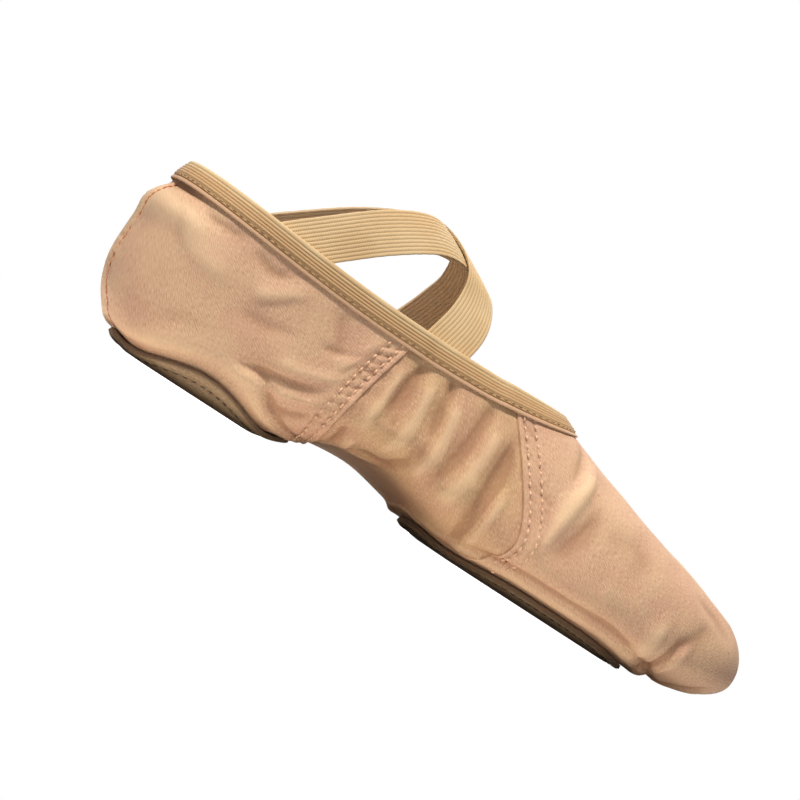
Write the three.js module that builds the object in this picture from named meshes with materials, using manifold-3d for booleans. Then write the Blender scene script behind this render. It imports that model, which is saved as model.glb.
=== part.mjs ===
// Split-sole ballet slipper for a left foot, in its worn shape, standing empty on its two sole patches.
// Millimetres. +X runs from heel to toe, -Y is the inner (big toe) side, +Z is up, the floor is Z = 0.
import * as THREE from "three";
import { mergeVertices } from "three/addons/utils/BufferGeometryUtils.js";
import Module from "manifold-3d";

const wasm = await Module();
wasm.setup();

// Driving dimensions of the last, the foot form that every piece is shaped on.
const LENGTH = 242;
const BALL_HALF_WIDTH = 43.8;
const INSTEP_HEIGHT = 54;
const HEEL_HEIGHT = 55.5;

// Cloth, leather and elastic.
const WALL = 1.2;
const LAP = 0.6;
const GAP = 0.3;
const SHEET_GAP = 0.6;
const SOLE_THICKNESS = 1.5;
const INSOLE_THICKNESS = 1.2;
const ELASTIC_THICKNESS = 1.0;
const BINDING_OUTSIDE = 7;
const BINDING_INSIDE = 6;
const BINDING_ROUND = 1;
const STRAP_WIDTH = 15;

const INNER = -1;
const OUTER = 1;

// One row for each cross-section of the last. along is a share of LENGTH, half of BALL_HALF_WIDTH and
// crest of INSTEP_HEIGHT. centre, flat, widest and peak are millimetres: where the middle line lies,
// half the flat width underneath, the height of the widest point, and how far the crest leans over.
const SECTIONS = [
  { along: 0.0, centre: 0.0, half: 0.65, flat: 11, widest: 26.0, crest: 1.66, peak: 0 },
  { along: 0.165, centre: 0.0, half: 0.667, flat: 12, widest: 25.0, crest: 1.68, peak: 0 },
  { along: 0.31, centre: 0.8, half: 0.68, flat: 12, widest: 25.0, crest: 1.66, peak: -1 },
  { along: 0.413, centre: 1.5, half: 0.73, flat: 12, widest: 24.0, crest: 1.47, peak: -3 },
  { along: 0.504, centre: 1.8, half: 0.833, flat: 13, widest: 22.0, crest: 1.22, peak: -5 },
  { along: 0.6, centre: 1.2, half: 0.94, flat: 14, widest: 19.5, crest: 1.005, peak: -7 },
  { along: 0.682, centre: -0.4, half: 1.0, flat: 14, widest: 17.5, crest: 0.87, peak: -8 },
  { along: 0.752, centre: -2.2, half: 0.995, flat: 14, widest: 16.0, crest: 0.775, peak: -8 },
  { along: 0.847, centre: -4.6, half: 0.993, flat: 13, widest: 14.5, crest: 0.66, peak: -6 },
  { along: 0.93, centre: -6.6, half: 0.993, flat: 10, widest: 14.0, crest: 0.565, peak: -3 },
  { along: 1.0, centre: -8.0, half: 0.993, flat: 8, widest: 14.0, crest: 0.49, peak: 0 },
];

// How far each end takes to round off, and the power of its curve: 2 is an ellipse, more is blunter.
const HEEL_PLAN = { reach: 34, power: 2.2 };
const TOE_PLAN = { reach: 70, power: 2.2 };
const HEEL_BACK = { reach: 60, power: 2.0 };
const HEEL_UNDER = { reach: 24, power: 2.0 };
const TOE_TOP = { reach: 15, power: 2.0 };
const TOE_SPRING = { reach: 44, power: 2.0 };
const HEEL_TIP_HEIGHT = 26;
const TOE_TIP_HEIGHT = 14;

// Fullness of the cross-section below and above its widest point.
const LOWER_POWER = 2.3;
const UPPER_POWER = { [INNER]: 2.15, [OUTER]: 1.95 };

// The arch lifts off the floor between the patches, more on the inner side.
const ARCH = { from: 60, to: 140, lift: 8, tilt: 0.16 };

// The topline dips a little between the back of the heel and the front of the throat.
const TOPLINE = { backX: 7, throatX: 147, throatHeight: 53.5, dip: 3.4 };

// Seams between heel, arch and vamp panels. girth is the share of the way from the middle of the
// underside up to the topline, x is where the seam crosses there.
const REAR_SEAM = [
  { girth: 0.0, x: 81 },
  { girth: 0.2, x: 81 },
  { girth: 0.45, x: 80 },
  { girth: 0.7, x: 83 },
  { girth: 1.0, x: 89 },
];
const FRONT_SEAM = [
  { girth: 0.0, x: 119 },
  { girth: 0.14, x: 121 },
  { girth: 0.28, x: 135 },
  { girth: 0.42, x: 145 },
  { girth: 0.55, x: 143 },
  { girth: 0.75, x: 134 },
  { girth: 1.0, x: 122 },
];
const SEAM_STEP = 0.5;

// Sole patches and insoles are rounded ovals along the middle line. power squares them off and taper
// widens them towards the toe.
const HEEL_PATCH = { middle: 45.5, halfLength: 32, halfWidth: 24, power: 2.0, taper: -0.13 };
const FOREFOOT_PATCH = { middle: 166, halfLength: 41, halfWidth: 32.5, power: 2.4, taper: 0.1 };
const HEEL_INSOLE = { middle: 48, halfLength: 31, halfWidth: 20, power: 2.2, taper: -0.1 };
const FOREFOOT_INSOLE = { middle: 169, halfLength: 46, halfWidth: 29, power: 2.3, taper: 0.04 };
const OPENING_SHARE = 0.75;
const OPENING_DEPTH = 20;
const OPENING_BELOW = 8;
const PATCH_RINGS = [0.4, 0.66, 0.86, 1];
const PATCH_SPOKES = 40;

// A strap's middle line. climb is 0 at one side's topline, 1 on the crest of the instep and 2 at the
// other side's topline; a strap starts and ends a little below, inside the binding. STRAP_CLIMB is about
// how long one unit of climb is, and STRAP_HUMP how far from the crossing the upper strap starts to rise.
const STRAP_PATH = [
  { x: 33, climb: -0.2 },
  { x: 41, climb: 0 },
  { x: 59, climb: 0.33 },
  { x: 79, climb: 0.67 },
  { x: 96, climb: 1 },
  { x: 102, climb: 1.33 },
  { x: 101, climb: 1.67 },
  { x: 97, climb: 2 },
  { x: 94, climb: 2.24 },
];
const STRAP_STEPS = 34;
const STRAP_CLIMB = 30;
const STRAP_HUMP = 22;

// How finely the upper is divided, and how strongly its columns crowd towards the back of the topline.
const COLUMNS = { pole: 5, heel: 15, arch: 8, throat: 7, vamp: 14 };
const CROWDING = 1.8;
const ROWS = 13;
const ARC_STEPS = 26;
const WALK_STEP = 1.2;

// A smooth curve through two columns of a table. The slope at a row comes from the rows beside it.
function tableCurve(rows, from, to) {
  const slopes = rows.map((row, i) => {
    const before = rows[Math.max(i - 1, 0)];
    const after = rows[Math.min(i + 1, rows.length - 1)];
    return (after[to] - before[to]) / (after[from] - before[from]);
  });
  return (at) => {
    let i = 0;
    while (i < rows.length - 2 && at > rows[i + 1][from]) i += 1;
    const span = rows[i + 1][from] - rows[i][from];
    const s = THREE.MathUtils.clamp((at - rows[i][from]) / span, 0, 1);
    const start = rows[i][to] * (1 + 2 * s) * (1 - s) ** 2;
    const end = rows[i + 1][to] * (3 - 2 * s) * s ** 2;
    const leave = slopes[i] * span * s * (1 - s) ** 2;
    const arrive = slopes[i + 1] * span * (s - 1) * s ** 2;
    return start + end + leave + arrive;
  };
}

// Share of full size at a distance from a rounded end: 0 at the tip, 1 once past its reach.
function roundEnd(distance, { reach, power }) {
  const left = 1 - THREE.MathUtils.clamp(distance / reach, 0, 1);
  return (1 - left ** power) ** (1 / power);
}

function bisect(difference, low, high) {
  let [a, b] = [low, high];
  for (let i = 0; i < 60; i += 1) {
    const middle = (a + b) / 2;
    if (difference(a) * difference(middle) <= 0) b = middle;
    else a = middle;
  }
  return (a + b) / 2;
}

const column = Object.fromEntries(
  ["centre", "half", "flat", "widest", "crest", "peak"].map((key) => {
    const curve = tableCurve(SECTIONS, "along", key);
    return [key, (x) => curve(x / LENGTH)];
  }),
);
const centreLine = column.centre;

function planShare(x) {
  return roundEnd(x, HEEL_PLAN) * roundEnd(LENGTH - x, TOE_PLAN);
}

function halfWidth(x) {
  return BALL_HALF_WIDTH * column.half(x) * planShare(x);
}

function flatHalf(x) {
  return column.flat(x) * planShare(x);
}

function archShare(x) {
  const s = THREE.MathUtils.clamp((x - ARCH.from) / (ARCH.to - ARCH.from), 0, 1);
  return Math.sin(Math.PI * s) ** 2;
}

function underHeight(x) {
  const heel = HEEL_TIP_HEIGHT * (1 - roundEnd(x, HEEL_UNDER));
  const toe = TOE_TIP_HEIGHT * (1 - roundEnd(LENGTH - x, TOE_SPRING));
  return heel + toe + ARCH.lift * archShare(x);
}

function crestHeight(x) {
  const full = INSTEP_HEIGHT * column.crest(x);
  if (x < LENGTH / 2) {
    return HEEL_TIP_HEIGHT + (full - HEEL_TIP_HEIGHT) * roundEnd(x, HEEL_BACK);
  }
  return TOE_TIP_HEIGHT + (full - TOE_TIP_HEIGHT) * roundEnd(LENGTH - x, TOE_TOP);
}

function toplineHeight(x) {
  const { backX, throatX, throatHeight, dip } = TOPLINE;
  const s = THREE.MathUtils.clamp((x - backX) / (throatX - backX), 0, 1);
  return THREE.MathUtils.lerp(HEEL_HEIGHT, throatHeight, s) - dip * Math.sin(Math.PI * s);
}

const aboveTopline = (x) => crestHeight(x) - toplineHeight(x);
const BACK_X = bisect(aboveTopline, 1, 40);
const THROAT_X = bisect(aboveTopline, 110, 200);

function isOpen(x) {
  return x > BACK_X + 1e-6 && x < THROAT_X - 1e-6;
}

// One side of a cross-section as a line of points: the flat underside, the rounded lower arc, and the
// upper arc as far as the topline or, with whole set, over to the crest of the foot.
function sectionLine(x, side, whole) {
  const middle = centreLine(x);
  const flat = flatHalf(x);
  const half = halfWidth(x);
  const low = underHeight(x);
  const widest = column.widest(x);
  const high = crestHeight(x);
  const lean = ARCH.tilt * archShare(x);
  const lower = 2 / LOWER_POWER;
  const upper = 2 / UPPER_POWER[side];
  const cut = (toplineHeight(x) - widest) / (high - widest);
  const stop = whole || !isOpen(x) ? Math.PI / 2 : Math.asin(cut ** (1 / upper));
  const points = [[middle, low]];
  for (let i = 0; i <= ARC_STEPS; i += 1) {
    const turn = ((Math.PI / 2) * i) / ARC_STEPS;
    const out = flat + (half - flat) * Math.sin(turn) ** lower;
    const share = Math.max(Math.cos(turn), 0) ** lower;
    const z = widest - (widest - low) * share;
    points.push([middle + side * out, z - side * lean * out * share]);
  }
  const reach = middle + column.peak(x) - (middle + side * half);
  for (let i = 1; i <= ARC_STEPS; i += 1) {
    const turn = (stop * i) / ARC_STEPS;
    const across = 1 - Math.max(Math.cos(turn), 0) ** upper;
    points.push([middle + side * half + reach * across, widest + (high - widest) * Math.sin(turn) ** upper]);
  }
  return points;
}

function lineLengths(points) {
  const lengths = [0];
  points.slice(1).forEach(([y, z], i) => {
    lengths.push(lengths[i] + Math.hypot(y - points[i][0], z - points[i][1]));
  });
  return lengths;
}

// The point at a share of the way along a cross-section line, measured along its length.
function pointOnLine(x, points, share) {
  const lengths = lineLengths(points);
  const target = THREE.MathUtils.clamp(share, 0, 1) * lengths.at(-1);
  let i = 0;
  while (i < points.length - 2 && lengths[i + 1] < target) i += 1;
  const span = lengths[i + 1] - lengths[i];
  const s = span > 0 ? (target - lengths[i]) / span : 0;
  const y = THREE.MathUtils.lerp(points[i][0], points[i + 1][0], s);
  const z = THREE.MathUtils.lerp(points[i][1], points[i + 1][1], s);
  return new THREE.Vector3(x, y, z);
}

// A place on the last is { x, side, girth }, with girth 0 under the foot and 1 on the crest.
function lastPoint({ x, side, girth }) {
  return pointOnLine(x, sectionLine(x, side, true), girth);
}

function toplineGirth(x, side) {
  const cut = lineLengths(sectionLine(x, side, false)).at(-1);
  return cut / lineLengths(sectionLine(x, side, true)).at(-1);
}

function partials({ x, side, girth }) {
  const dx = 0.2;
  const dg = 0.004;
  const [x0, x1] = [Math.max(x - dx, 0), Math.min(x + dx, LENGTH)];
  const [g0, g1] = [Math.max(girth - dg, 0), Math.min(girth + dg, 1)];
  const along = lastPoint({ x: x1, side, girth }).sub(lastPoint({ x: x0, side, girth }));
  const around = lastPoint({ x, side, girth: g1 }).sub(lastPoint({ x, side, girth: g0 }));
  return { along: along.divideScalar(x1 - x0), around: around.divideScalar(g1 - g0) };
}

function sideNormal(place) {
  const { along, around } = partials(place);
  return around.cross(along).multiplyScalar(place.side).normalize();
}

// The direction out of the last. On the middle lines under and over the foot both sides share it.
function lastNormal(place) {
  if (place.x < 1e-6) return new THREE.Vector3(-1, 0, 0);
  if (place.x > LENGTH - 1e-6) return new THREE.Vector3(1, 0, 0);
  const onMiddle = place.girth < 1e-6 || place.girth > 1 - 1e-6;
  if (!onMiddle) return sideNormal(place);
  const both = sideNormal({ ...place, side: INNER }).add(sideNormal({ ...place, side: OUTER }));
  return both.normalize();
}

function offLast(place, offset) {
  return lastPoint(place).addScaledVector(lastNormal(place), offset);
}

// Follows the surface of the last for a distance in a direction, in short steps.
function walkOnLast(start, direction, distance) {
  const steps = Math.max(1, Math.ceil(distance / WALK_STEP));
  const place = { ...start };
  for (let i = 0; i < steps; i += 1) {
    const { along, around } = partials(place);
    const aa = along.lengthSq();
    const ag = along.dot(around);
    const gg = around.lengthSq();
    const da = along.dot(direction);
    const dg = around.dot(direction);
    const dx = (gg * da - ag * dg) / (aa * gg - ag * ag);
    const dGirth = (aa * dg - ag * da) / (aa * gg - ag * ag);
    const moved = along.multiplyScalar(dx).addScaledVector(around, dGirth).length();
    place.x += (dx * distance) / steps / moved;
    place.girth += (dGirth * distance) / steps / moved;
    if (place.girth > 1) {
      place.girth = 2 - place.girth;
      place.side = -place.side;
    }
  }
  return place;
}

// Turns a list of triangles, each of three points, into a closed solid.
function solidOf(triangles) {
  const raw = new THREE.BufferGeometry().setFromPoints(triangles.flat());
  const merged = mergeVertices(raw, 1e-3);
  const index = merged.index.array;
  const kept = [];
  for (let i = 0; i < index.length; i += 3) {
    const [a, b, c] = index.slice(i, i + 3);
    if (a !== b && b !== c && c !== a) kept.push(a, b, c);
  }
  const mesh = new wasm.Mesh({
    numProp: 3,
    vertProperties: merged.attributes.position.array,
    triVerts: new Uint32Array(kept),
  });
  return new wasm.Manifold(mesh);
}

function geometryOf(solid) {
  const { vertProperties, triVerts } = solid.getMesh();
  const geometry = new THREE.BufferGeometry();
  geometry.setAttribute("position", new THREE.BufferAttribute(vertProperties, 3));
  geometry.setIndex(new THREE.BufferAttribute(triVerts, 1));
  geometry.computeVertexNormals();
  return geometry;
}

const quad = (a, b, c, d) => [
  [a, b, c],
  [a, c, d],
];

// A skin over a grid of points, rows of equal length.
function skin(rows, flip) {
  return rows.slice(1).flatMap((row, i) =>
    row.slice(1).flatMap((corner, j) => {
      const [a, b, c, d] = [rows[i][j], rows[i][j + 1], corner, row[j]];
      return flip ? quad(a, d, c, b) : quad(a, b, c, d);
    }),
  );
}

const rearSeamX = tableCurve(REAR_SEAM, "girth", "x");
const frontSeamX = tableCurve(FRONT_SEAM, "girth", "x");

// Where the upper's columns of points stand, as shares of each panel measured along the topline. They
// crowd towards the tips, the back of the topline and the front of the throat, where it turns.
function upperColumns() {
  const even = (count) => Array.from({ length: count }, (_, i) => (i + 1) / count);
  const back = BACK_X / rearSeamX(1);
  const throat = (THROAT_X - frontSeamX(1)) / (LENGTH - frontSeamX(1));
  const heel = [
    0,
    ...even(COLUMNS.pole).map((s) => back * s ** 2),
    ...even(COLUMNS.heel).map((s) => back + (1 - back) * s ** CROWDING),
  ];
  const arch = [0, ...even(COLUMNS.arch)];
  const vamp = [
    0,
    ...even(COLUMNS.throat).map((s) => throat * (1 - (1 - s) ** 2)),
    ...even(COLUMNS.vamp).map((s) => throat + (1 - throat) * (1 - (1 - s) ** 2)),
  ];
  return [
    ...heel.map((share) => ({ panel: "heel", share })),
    ...arch.map((share) => ({ panel: "arch", share })),
    ...vamp.map((share) => ({ panel: "vamp", share })),
  ];
}

function columnX({ panel, share }, girth) {
  const [rear, front] = [rearSeamX(girth), frontSeamX(girth)];
  if (panel === "heel") return rear * share;
  if (panel === "arch") return THREE.MathUtils.lerp(rear + SEAM_STEP, front - SEAM_STEP, share);
  return THREE.MathUtils.lerp(front, LENGTH, share);
}

// The upper's place for a column and a row. Rows run from the inner topline under the foot and up to
// the outer topline.
function upperPlace(columnSpec, row) {
  const side = row < ROWS ? INNER : OUTER;
  const share = Math.abs(row - ROWS) / ROWS;
  const x = columnX(columnSpec, share);
  return { x, side, girth: share * toplineGirth(x, side) };
}

function makeUpper() {
  const columns = upperColumns();
  const rows = Array.from({ length: 2 * ROWS + 1 }, (_, row) => row);
  const outside = columns.map((spec) =>
    rows.map((row) => offLast(upperPlace(spec, row), spec.panel === "arch" ? 0 : LAP)),
  );
  const inside = columns.map((spec) => rows.map((row) => offLast(upperPlace(spec, row), -WALL)));
  const triangles = [...skin(outside, false), ...skin(inside, true)];
  const last = 2 * ROWS;
  for (let i = 0; i + 1 < columns.length; i += 1) {
    const open = isOpen(columnX(columns[i], 1)) || isOpen(columnX(columns[i + 1], 1));
    if (open) {
      triangles.push(...quad(outside[i][0], outside[i + 1][0], inside[i + 1][0], inside[i][0]));
      const [near, far] = [outside[i][last], outside[i + 1][last]];
      triangles.push(...quad(far, near, inside[i][last], inside[i + 1][last]));
    }
  }
  return solidOf(triangles)
    .subtract(openingCutter(HEEL_PATCH))
    .subtract(openingCutter(FOREFOOT_PATCH));
}

// A point of an oval, at a share of the way from its middle to its edge.
function ovalPoint(oval, turn, share) {
  const rounded = (value) => Math.sign(value) * Math.abs(value) ** (2 / oval.power);
  const x = oval.middle + share * oval.halfLength * rounded(Math.cos(turn));
  const width = oval.halfWidth * (1 + oval.taper * Math.cos(turn));
  return { x, y: centreLine(x) + share * width * rounded(Math.sin(turn)) };
}

function ovalRing(oval, share) {
  const turns = Array.from({ length: PATCH_SPOKES + 1 }, (_, i) => (2 * Math.PI * i) / PATCH_SPOKES);
  return turns.map((turn) => ovalPoint(oval, turn, share));
}

// The underside of the last straight below or above a point of the floor.
function underPoint(x, y) {
  const out = Math.abs(y - centreLine(x));
  const flat = flatHalf(x);
  const [low, widest] = [underHeight(x), column.widest(x)];
  const s = THREE.MathUtils.clamp((out - flat) / (halfWidth(x) - flat), 0, 1);
  const share = (1 - s ** LOWER_POWER) ** (1 / LOWER_POWER);
  const lean = ARCH.tilt * archShare(x) * (centreLine(x) - y) * share;
  return new THREE.Vector3(x, y, widest - (widest - low) * share + lean);
}

function underNormal(x, y) {
  const step = 0.05;
  const slopeX = (underPoint(x + step, y).z - underPoint(x - step, y).z) / (2 * step);
  const slopeY = (underPoint(x, y + step).z - underPoint(x, y - step).z) / (2 * step);
  return new THREE.Vector3(slopeX, slopeY, -1).normalize();
}

// An oval sheet that follows the underside, between two distances out from the last.
function ovalSheet(oval, upperFace, lowerFace) {
  const place = ({ x, y }, offset) => underPoint(x, y).addScaledVector(underNormal(x, y), offset);
  const rings = [0, ...PATCH_RINGS].map((share) => ovalRing(oval, share));
  const top = rings.map((ring) => ring.map((point) => place(point, upperFace)));
  const bottom = rings.map((ring) => ring.map((point) => place(point, lowerFace)));
  const edge = [bottom.at(-1), top.at(-1)];
  return solidOf([...skin(top, true), ...skin(bottom, false), ...skin(edge, false)]);
}

// The hole in the upper that a sole patch closes from below and an insole from above.
function openingCutter(oval) {
  const outline = ovalRing(oval, OPENING_SHARE).slice(0, -1);
  const shape = new THREE.Shape(outline.map(({ x, y }) => new THREE.Vector2(x, y)));
  const geometry = new THREE.ExtrudeGeometry(shape, { depth: OPENING_DEPTH, bevelEnabled: false });
  geometry.translate(0, 0, -OPENING_BELOW);
  const { position } = geometry.attributes;
  const points = Array.from({ length: position.count }, (_, i) =>
    new THREE.Vector3().fromBufferAttribute(position, i),
  );
  const corners = Array.from({ length: points.length / 3 }, (_, i) => points.slice(3 * i, 3 * i + 3));
  return solidOf(corners);
}

// The topline as a ring of places, from the back along the inner side and home along the outer one.
function toplineRing() {
  const xs = upperColumns()
    .map((spec) => columnX(spec, 1))
    .filter((x) => x > BACK_X - 1e-6 && x < THROAT_X + 1e-6);
  const inner = xs.map((x) => ({ x, side: INNER }));
  const outer = xs.slice(1, -1).reverse().map((x) => ({ x, side: OUTER }));
  return [...inner, ...outer].map((place) => {
    const girth = isOpen(place.x) ? toplineGirth(place.x, place.side) : 1;
    return { ...place, girth };
  });
}

// How far the upper stands out along the topline: a lap thicker on heel and vamp than on the arch.
function toplineLap(x) {
  const fade = 6;
  const into = Math.min(x - rearSeamX(1), frontSeamX(1) - x);
  return LAP * (1 - THREE.MathUtils.smoothstep(into, 0, fade));
}

// The binding's cross-section, round the edge of the upper. drop is measured down the wall from the
// topline and out is the distance from the last.
function bindingSection(x) {
  const outNear = toplineLap(x) + GAP;
  const outFar = outNear + ELASTIC_THICKNESS;
  const inNear = -(WALL + SHEET_GAP);
  const inFar = inNear - ELASTIC_THICKNESS;
  const roof = -(GAP + ELASTIC_THICKNESS);
  return [
    { drop: BINDING_OUTSIDE, out: outFar },
    { drop: BINDING_OUTSIDE / 2, out: outFar },
    { drop: 0, out: outFar },
    { drop: roof * 0.75, out: outFar - BINDING_ROUND / 3 },
    { drop: roof, out: outFar - BINDING_ROUND },
    { drop: roof, out: inFar + BINDING_ROUND },
    { drop: roof * 0.75, out: inFar + BINDING_ROUND / 3 },
    { drop: 0, out: inFar },
    { drop: BINDING_INSIDE / 2, out: inFar },
    { drop: BINDING_INSIDE, out: inFar },
    { drop: BINDING_INSIDE, out: inNear },
    { drop: BINDING_INSIDE / 2, out: inNear },
    { drop: 0, out: inNear },
    { drop: -GAP, out: inNear },
    { drop: -GAP, out: outNear },
    { drop: 0, out: outNear },
    { drop: BINDING_OUTSIDE / 2, out: outNear },
    { drop: BINDING_OUTSIDE, out: outNear },
  ];
}

function makeBinding() {
  const ring = toplineRing();
  const points = ring.map(lastPoint);
  const loops = ring.map((place, i) => {
    const before = points.at(i - 1);
    const after = points[(i + 1) % points.length];
    const normal = lastNormal(place);
    const down = after.clone().sub(before).cross(normal).normalize();
    const section = bindingSection(place.x).map(({ drop, out }) => {
      if (drop > 0) return offLast(walkOnLast(place, down, drop), out);
      return points[i].clone().addScaledVector(normal, out).addScaledVector(down, drop);
    });
    return [...section, section[0]];
  });
  return solidOf(skin([...loops, loops[0]], true));
}

// A strap's place on the foot for a point of its path, from the side where it starts.
function strapPlace({ x, climb }, startSide) {
  const side = climb <= 1 ? startSide : -startSide;
  const start = toplineGirth(x, side);
  return { x, side, girth: start + (1 - start) * (climb <= 1 ? climb : 2 - climb) };
}

// A flat elastic strap from one side of the collar over the instep to the other. lift raises it where
// it passes over the strap below.
function makeStrap(startSide, lift) {
  const knots = STRAP_PATH.map(({ x, climb }) => new THREE.Vector2(x, climb * STRAP_CLIMB));
  const path = new THREE.SplineCurve(knots).getSpacedPoints(STRAP_STEPS);
  const places = path.map(({ x, y }) => strapPlace({ x, climb: y / STRAP_CLIMB }, startSide));
  const points = places.map(lastPoint);
  const outFace = -(WALL + SHEET_GAP + GAP + ELASTIC_THICKNESS);
  const crossing = points[path.findIndex(({ y }) => y >= STRAP_CLIMB)];
  const shares = [-1, -0.5, 0, 0.5, 1];
  const loops = places.map((place, i) => {
    const before = points[Math.max(i - 1, 0)];
    const after = points[Math.min(i + 1, points.length - 1)];
    const across = lastNormal(place).cross(after.clone().sub(before)).normalize();
    const near = STRAP_HUMP - points[i].distanceTo(crossing);
    const raise = lift * THREE.MathUtils.smoothstep(near, 0, STRAP_HUMP / 2);
    const spots = shares.map((share) => {
      if (share === 0) return place;
      const way = across.clone().multiplyScalar(Math.sign(share));
      return walkOnLast(place, way, (Math.abs(share) * STRAP_WIDTH) / 2);
    });
    const over = spots.map((spot) => offLast(spot, outFace + raise));
    const under = spots.map((spot) => offLast(spot, outFace + raise - ELASTIC_THICKNESS)).reverse();
    return [...over, ...under, over[0]];
  });
  const half = shares.length;
  const cap = (loop) => skin([loop.slice(0, half), loop.slice(half, 2 * half).reverse()], false);
  const ends = [...cap(loops[0]), ...cap(loops.at(-1)).map((t) => t.reverse())];
  return solidOf([...skin(loops, true), ...ends]);
}

function finish(colour, roughness) {
  return new THREE.MeshStandardMaterial({ color: colour, roughness, metalness: 0 });
}

const canvas = finish("#dcae88", 0.85);
const suede = finish("#8a7157", 0.95);
const sockLining = finish("#e6d3bb", 0.9);
const elastic = finish("#e3c193", 0.75);

function piece(name, solid, material) {
  const mesh = new THREE.Mesh(geometryOf(solid), material);
  mesh.name = name;
  return mesh;
}

const soleTop = LAP + SHEET_GAP;
const soleBottom = soleTop + SOLE_THICKNESS;
const insoleBottom = -(WALL + SHEET_GAP);
const insoleTop = insoleBottom - INSOLE_THICKNESS;

const slipper = new THREE.Group();
slipper.add(
  piece("upper", makeUpper(), canvas),
  piece("sole_patch_heel", ovalSheet(HEEL_PATCH, soleTop, soleBottom), suede),
  piece("sole_patch_forefoot", ovalSheet(FOREFOOT_PATCH, soleTop, soleBottom), suede),
  piece("insole_heel", ovalSheet(HEEL_INSOLE, insoleTop, insoleBottom), sockLining),
  piece("insole_forefoot", ovalSheet(FOREFOOT_INSOLE, insoleTop, insoleBottom), sockLining),
  piece("topline_binding", makeBinding(), elastic),
  piece("instep_strap_under", makeStrap(INNER, 0), elastic),
  piece("instep_strap_over", makeStrap(OUTER, ELASTIC_THICKNESS + GAP), elastic),
);

// The middle of the footprint is the origin, and the underside of the patches is the floor.
const extent = new THREE.Box3().setFromObject(slipper);
const middle = extent.getCenter(new THREE.Vector3());
slipper.position.set(-middle.x, -middle.y, soleBottom);

export default slipper;
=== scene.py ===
# %% [markdown]
# # A split-sole ballet slipper
# A soft dance shoe: three panels of stretch canvas sewn into a sock-like shell, a ribbed elastic binding
# round the collar, two elastics crossed over the instep, and a suede patch under the heel and under the
# ball. The solids already give the real sizes, so this lesson dresses them: every piece is made again as
# fine cloth, leather or elastic, exactly where its solid stands.

import math
from collections import namedtuple

import bpy
import numpy as np
from mathutils import Matrix, Vector


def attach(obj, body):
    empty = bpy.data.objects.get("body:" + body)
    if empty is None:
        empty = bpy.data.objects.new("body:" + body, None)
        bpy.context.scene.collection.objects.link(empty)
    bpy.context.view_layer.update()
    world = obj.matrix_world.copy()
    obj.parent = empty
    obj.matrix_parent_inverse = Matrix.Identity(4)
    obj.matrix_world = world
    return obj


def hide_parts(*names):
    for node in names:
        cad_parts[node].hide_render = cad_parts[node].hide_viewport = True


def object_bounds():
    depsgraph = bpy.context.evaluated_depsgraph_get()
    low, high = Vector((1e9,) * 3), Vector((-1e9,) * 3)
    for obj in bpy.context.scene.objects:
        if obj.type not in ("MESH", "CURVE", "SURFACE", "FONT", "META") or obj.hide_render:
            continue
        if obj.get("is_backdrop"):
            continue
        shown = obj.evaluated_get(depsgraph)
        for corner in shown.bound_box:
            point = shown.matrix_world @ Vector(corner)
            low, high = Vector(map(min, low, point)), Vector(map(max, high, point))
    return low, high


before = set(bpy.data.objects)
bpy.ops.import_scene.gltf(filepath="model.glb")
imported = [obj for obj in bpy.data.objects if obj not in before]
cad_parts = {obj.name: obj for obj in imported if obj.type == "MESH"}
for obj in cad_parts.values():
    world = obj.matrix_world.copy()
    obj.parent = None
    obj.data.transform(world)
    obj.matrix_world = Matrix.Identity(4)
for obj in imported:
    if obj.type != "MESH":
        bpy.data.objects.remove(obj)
cad_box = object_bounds()
print("solids:", sorted(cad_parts))

# %% [markdown]
# ## The last
# Shoes are shaped on a last, a solid form of their inside. It could be sculpted, but the slipper has to
# match its solids, so the last is worked out here from the same few sizes: a table with a row for each
# cross-section, and round ends for heel and toe. All sizes in this part are millimetres.

# %% Sizes of the slipper
MM = 0.001
LENGTH = 242
BALL_HALF_WIDTH = 43.8
INSTEP_HEIGHT = 54
HEEL_HEIGHT = 55.5
WALL = 1.2
LAP = 0.6
GAP = 0.3
SHEET_GAP = 0.6
SOLE_THICKNESS = 1.5
INSOLE_THICKNESS = 1.2
ELASTIC_THICKNESS = 1.0
INNER, OUTER = -1, 1
# One of these tells two places apart, and the other keeps a division from failing.
TINY, SMALLEST = 1e-6, 1e-12
print(f"a last {LENGTH} mm long, with a wall of {WALL} mm on it")

# %% Sizes of the last
SECTION_COLUMNS = ("along", "centre", "half", "flat", "widest", "crest", "peak")
SECTIONS = np.array(
    [
        (0.0, 0.0, 0.65, 11, 26.0, 1.66, 0),
        (0.165, 0.0, 0.667, 12, 25.0, 1.68, 0),
        (0.31, 0.8, 0.68, 12, 25.0, 1.66, -1),
        (0.413, 1.5, 0.73, 12, 24.0, 1.47, -3),
        (0.504, 1.8, 0.833, 13, 22.0, 1.22, -5),
        (0.6, 1.2, 0.94, 14, 19.5, 1.005, -7),
        (0.682, -0.4, 1.0, 14, 17.5, 0.87, -8),
        (0.752, -2.2, 0.995, 14, 16.0, 0.775, -8),
        (0.847, -4.6, 0.993, 13, 14.5, 0.66, -6),
        (0.93, -6.6, 0.993, 10, 14.0, 0.565, -3),
        (1.0, -8.0, 0.993, 8, 14.0, 0.49, 0),
    ]
)
RoundEnd = namedtuple("RoundEnd", "reach power")
HEEL_PLAN = RoundEnd(34, 2.2)
TOE_PLAN = RoundEnd(70, 2.2)
HEEL_BACK = RoundEnd(60, 2.0)
HEEL_UNDER = RoundEnd(24, 2.0)
TOE_TOP = RoundEnd(15, 2.0)
TOE_SPRING = RoundEnd(44, 2.0)
HEEL_TIP_HEIGHT = 26
TOE_TIP_HEIGHT = 14
LOWER_POWER = 2.3
UPPER_POWER = {INNER: 2.15, OUTER: 1.95}
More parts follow.
